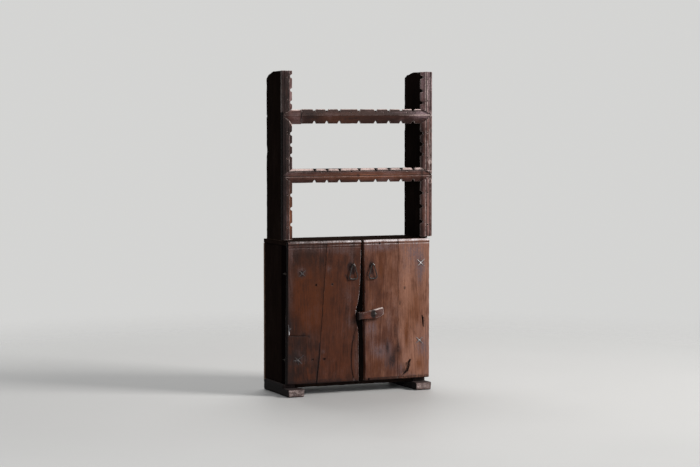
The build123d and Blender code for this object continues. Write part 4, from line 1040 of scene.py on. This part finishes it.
dropLook = {
    "wire": 0.0025, "thin": 0.0028, "thick": 0.0042, "flat": 0.8, "footHalf": 0.029, "topHalf": 0.007,
    "topRound": 0.004, "footRound": 0.013, "footWearAndGlint": {"left": 0.05, "right": 0.22}, "topWearAndGlint": 0.4,
}


def roundedLoop(corners, radii, perCorner=8, spacing=0.004):  # closed (x, z) outline with rounded corners
    points = []
    count = len(corners)
    for i, corner in enumerate(corners):
        corner = Vector(corner)
        back = (Vector(corners[i - 1]) - corner).normalized()
        ahead = (Vector(corners[(i + 1) % count]) - corner).normalized()
        half = back.angle(ahead) / 2
        reach = radii[i] / math.tan(half)
        centre = corner + (back + ahead).normalized() * radii[i] / math.sin(half)
        start = corner + back * reach - centre
        sweep = start.angle_signed(corner + ahead * reach - centre)
        for j in range(perCorner + 1):
            turn = -sweep * j / perCorner
            points.append(centre + Vector((start.x * math.cos(turn) - start.y * math.sin(turn),
                                           start.x * math.sin(turn) + start.y * math.cos(turn))))
    filled = []
    for a, b in zip(points, points[1:] + points[:1]):
        steps = max(1, round((b - a).length / spacing))
        filled += [a.lerp(b, k / steps) for k in range(steps)]
    return filled


def pullDrop(side):
    low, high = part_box(f"{side}_pull_drop")
    wire = dropLook["wire"]
    x, y = (low.x + high.x) / 2, (low.y + high.y) / 2
    half = dropLook["footHalf"]
    corners = [(-dropLook["topHalf"], high.z - wire), (dropLook["topHalf"], high.z - wire),
               (half, low.z + wire), (-half, low.z + wire)]
    radii = [dropLook["topRound"]] * 2 + [dropLook["footRound"]] * 2
    path = [Vector((x + p.x, y, p.y)) for p in roundedLoop(corners, radii)]
    widths = []
    for p in path:
        down = (high.z - p.z) / (high.z - low.z)
        widths.append(dropLook["thin"] + (dropLook["thick"] - dropLook["thin"]) * down ** 1.5)
    shape = forgedBar(path, widths, outward, closed=True, flat=dropLook["flat"], seed=3.0 + low.x * 9)
    drop = meshOf(shape, f"forged_{side}_pull_drop")
    rows = []
    for v in drop.vertices:
        foot = dropLook["footWearAndGlint"][side] * hump(v.co.z, low.z + wire, 0.006)
        # painted glint on the right half of the drop's top
        top = dropLook["topWearAndGlint"] * hump(v.co.z, high.z, 0.02) if v.co.x > x else 0.0
        rows.append((foot + top, 0.0, 0.5))
    setAttributes(drop, {"finishAndPaintedLight": rows})
    placePiece(drop, handledIron, f"{side}_pull", (f"{side}_pull_drop",), 60)


for side in ("left", "right"):
    pullDrop(side)
print("irons made")

# Camera, lights, floor

view = {"turn": 23.24, "tilt": 3.395, "lens": 102.6, "sensor": 36.0, "place": (-4.585, -10.704, 1.607)}
lamps = {  # name: place, aim, size, watts, colour
    "key": ((7.4, -6.2, 6.2), (0, 0, 0.9), 3.6, 1600, (1.0, 0.975, 0.95)),
    "fill": ((-3.5, -8.5, 2.6), (0, 0, 0.9), 3.5, 190, (0.96, 0.98, 1.0)),
    "top": ((0.6, 2.4, 6.0), (0, 0, 1.0), 3.0, 220, (1.0, 0.99, 0.98)),
}
studio = {"pale": (0.66, 0.66, 0.65, 1), "floor": (0.47, 0.47, 0.465), "ambient": (0.8, 0.82, 0.85, 1),
          "ambientStrength": 0.28, "fadeStart": 1.3, "fadeEnd": 5.0, "floorSize": 30}


def aim(thing, target):
    thing.rotation_euler = (Vector(target) - thing.location).to_track_quat("-Z", "Y").to_euler()


cameraData = bpy.data.cameras.new("camera")
cameraData.lens = view["lens"]
cameraData.sensor_width = view["sensor"]
camera = bpy.data.objects.new("camera", cameraData)
camera.location = view["place"]
camera.rotation_euler = (math.radians(90 - view["tilt"]), 0, math.radians(-view["turn"]))
bpy.context.scene.collection.objects.link(camera)
bpy.context.scene.camera = camera

for name, (place, target, size, watts, colour) in lamps.items():
    lampData = bpy.data.lights.new(name, "AREA")
    lampData.shape = "SQUARE"
    lampData.size = size
    lampData.energy = watts
    lampData.color = colour
    lamp = bpy.data.objects.new(name, lampData)
    lamp.location = place
    aim(lamp, target)
    bpy.context.scene.collection.objects.link(lamp)


def fillFloor(start, shader):  # a painted floor that fades into the pale background far off
    place = start.add("ShaderNodeTexCoord", {}, {}, "Object")
    patch = place.noise(1.3, 4, 0.6)
    low = tuple(c * 0.93 for c in studio["floor"]) + (1.0,)
    plug(patch.mix(low, studio["floor"] + (1.0,)), shader, "Base Color")
    plug(0.55 + (patch - 0.5) * 0.3, shader, "Roughness")
    shader.inputs["Specular IOR Level"].default_value = 0.25
    distance = start.add("ShaderNodeVectorMath", {"operation": "LENGTH"}, {0: place}, "Value")
    seen = start.add("ShaderNodeLightPath", {}, {}, "Is Camera Ray")
    fade = distance.step(studio["fadeStart"], studio["fadeEnd"]) * seen
    clear = start.add("ShaderNodeBsdfTransparent")
    painted = Wire(start.tree, shader.outputs[0])
    surface = start.add("ShaderNodeMixShader", {}, {0: fade, 1: painted, 2: clear})
    start.tree.links.new(surface.socket, start.tree.nodes["Material Output"].inputs["Surface"])


floorShape = bmesh.new()
bmesh.ops.create_grid(floorShape, x_segments=1, y_segments=1, size=studio["floorSize"])
floor = bpy.data.objects.new("floor", meshOf(floorShape, "floor"))
floor.data.materials.append(newMaterial("floorPaint", fillFloor))
bpy.context.scene.collection.objects.link(floor)
floor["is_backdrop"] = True

world = bpy.data.worlds.new("studio")
world.use_nodes = True
bpy.context.scene.world = world
sky = Wire(world.node_tree)
seen, glossy, through = (sky.add("ShaderNodeLightPath", {}, {}, ray)
                         for ray in ("Is Camera Ray", "Is Glossy Ray", "Is Transmission Ray"))
ambient = {"Color": studio["ambient"], "Strength": studio["ambientStrength"]}
plain = sky.add("ShaderNodeBackground", {}, ambient)
pale = sky.add("ShaderNodeBackground", {}, {"Color": studio["pale"], "Strength": 1.0})
shown = seen.highest(glossy).highest(through)
both = sky.add("ShaderNodeMixShader", {}, {0: shown, 1: plain, 2: pale})
world.node_tree.links.new(both.socket, world.node_tree.nodes["World Output"].inputs["Surface"])
bpy.context.scene.view_settings.view_transform = "Standard"
print("camera, lights and floor made")

faces = sum(len(o.data.polygons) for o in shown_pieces() if o.type == "MESH")
print("faces in all:", faces)
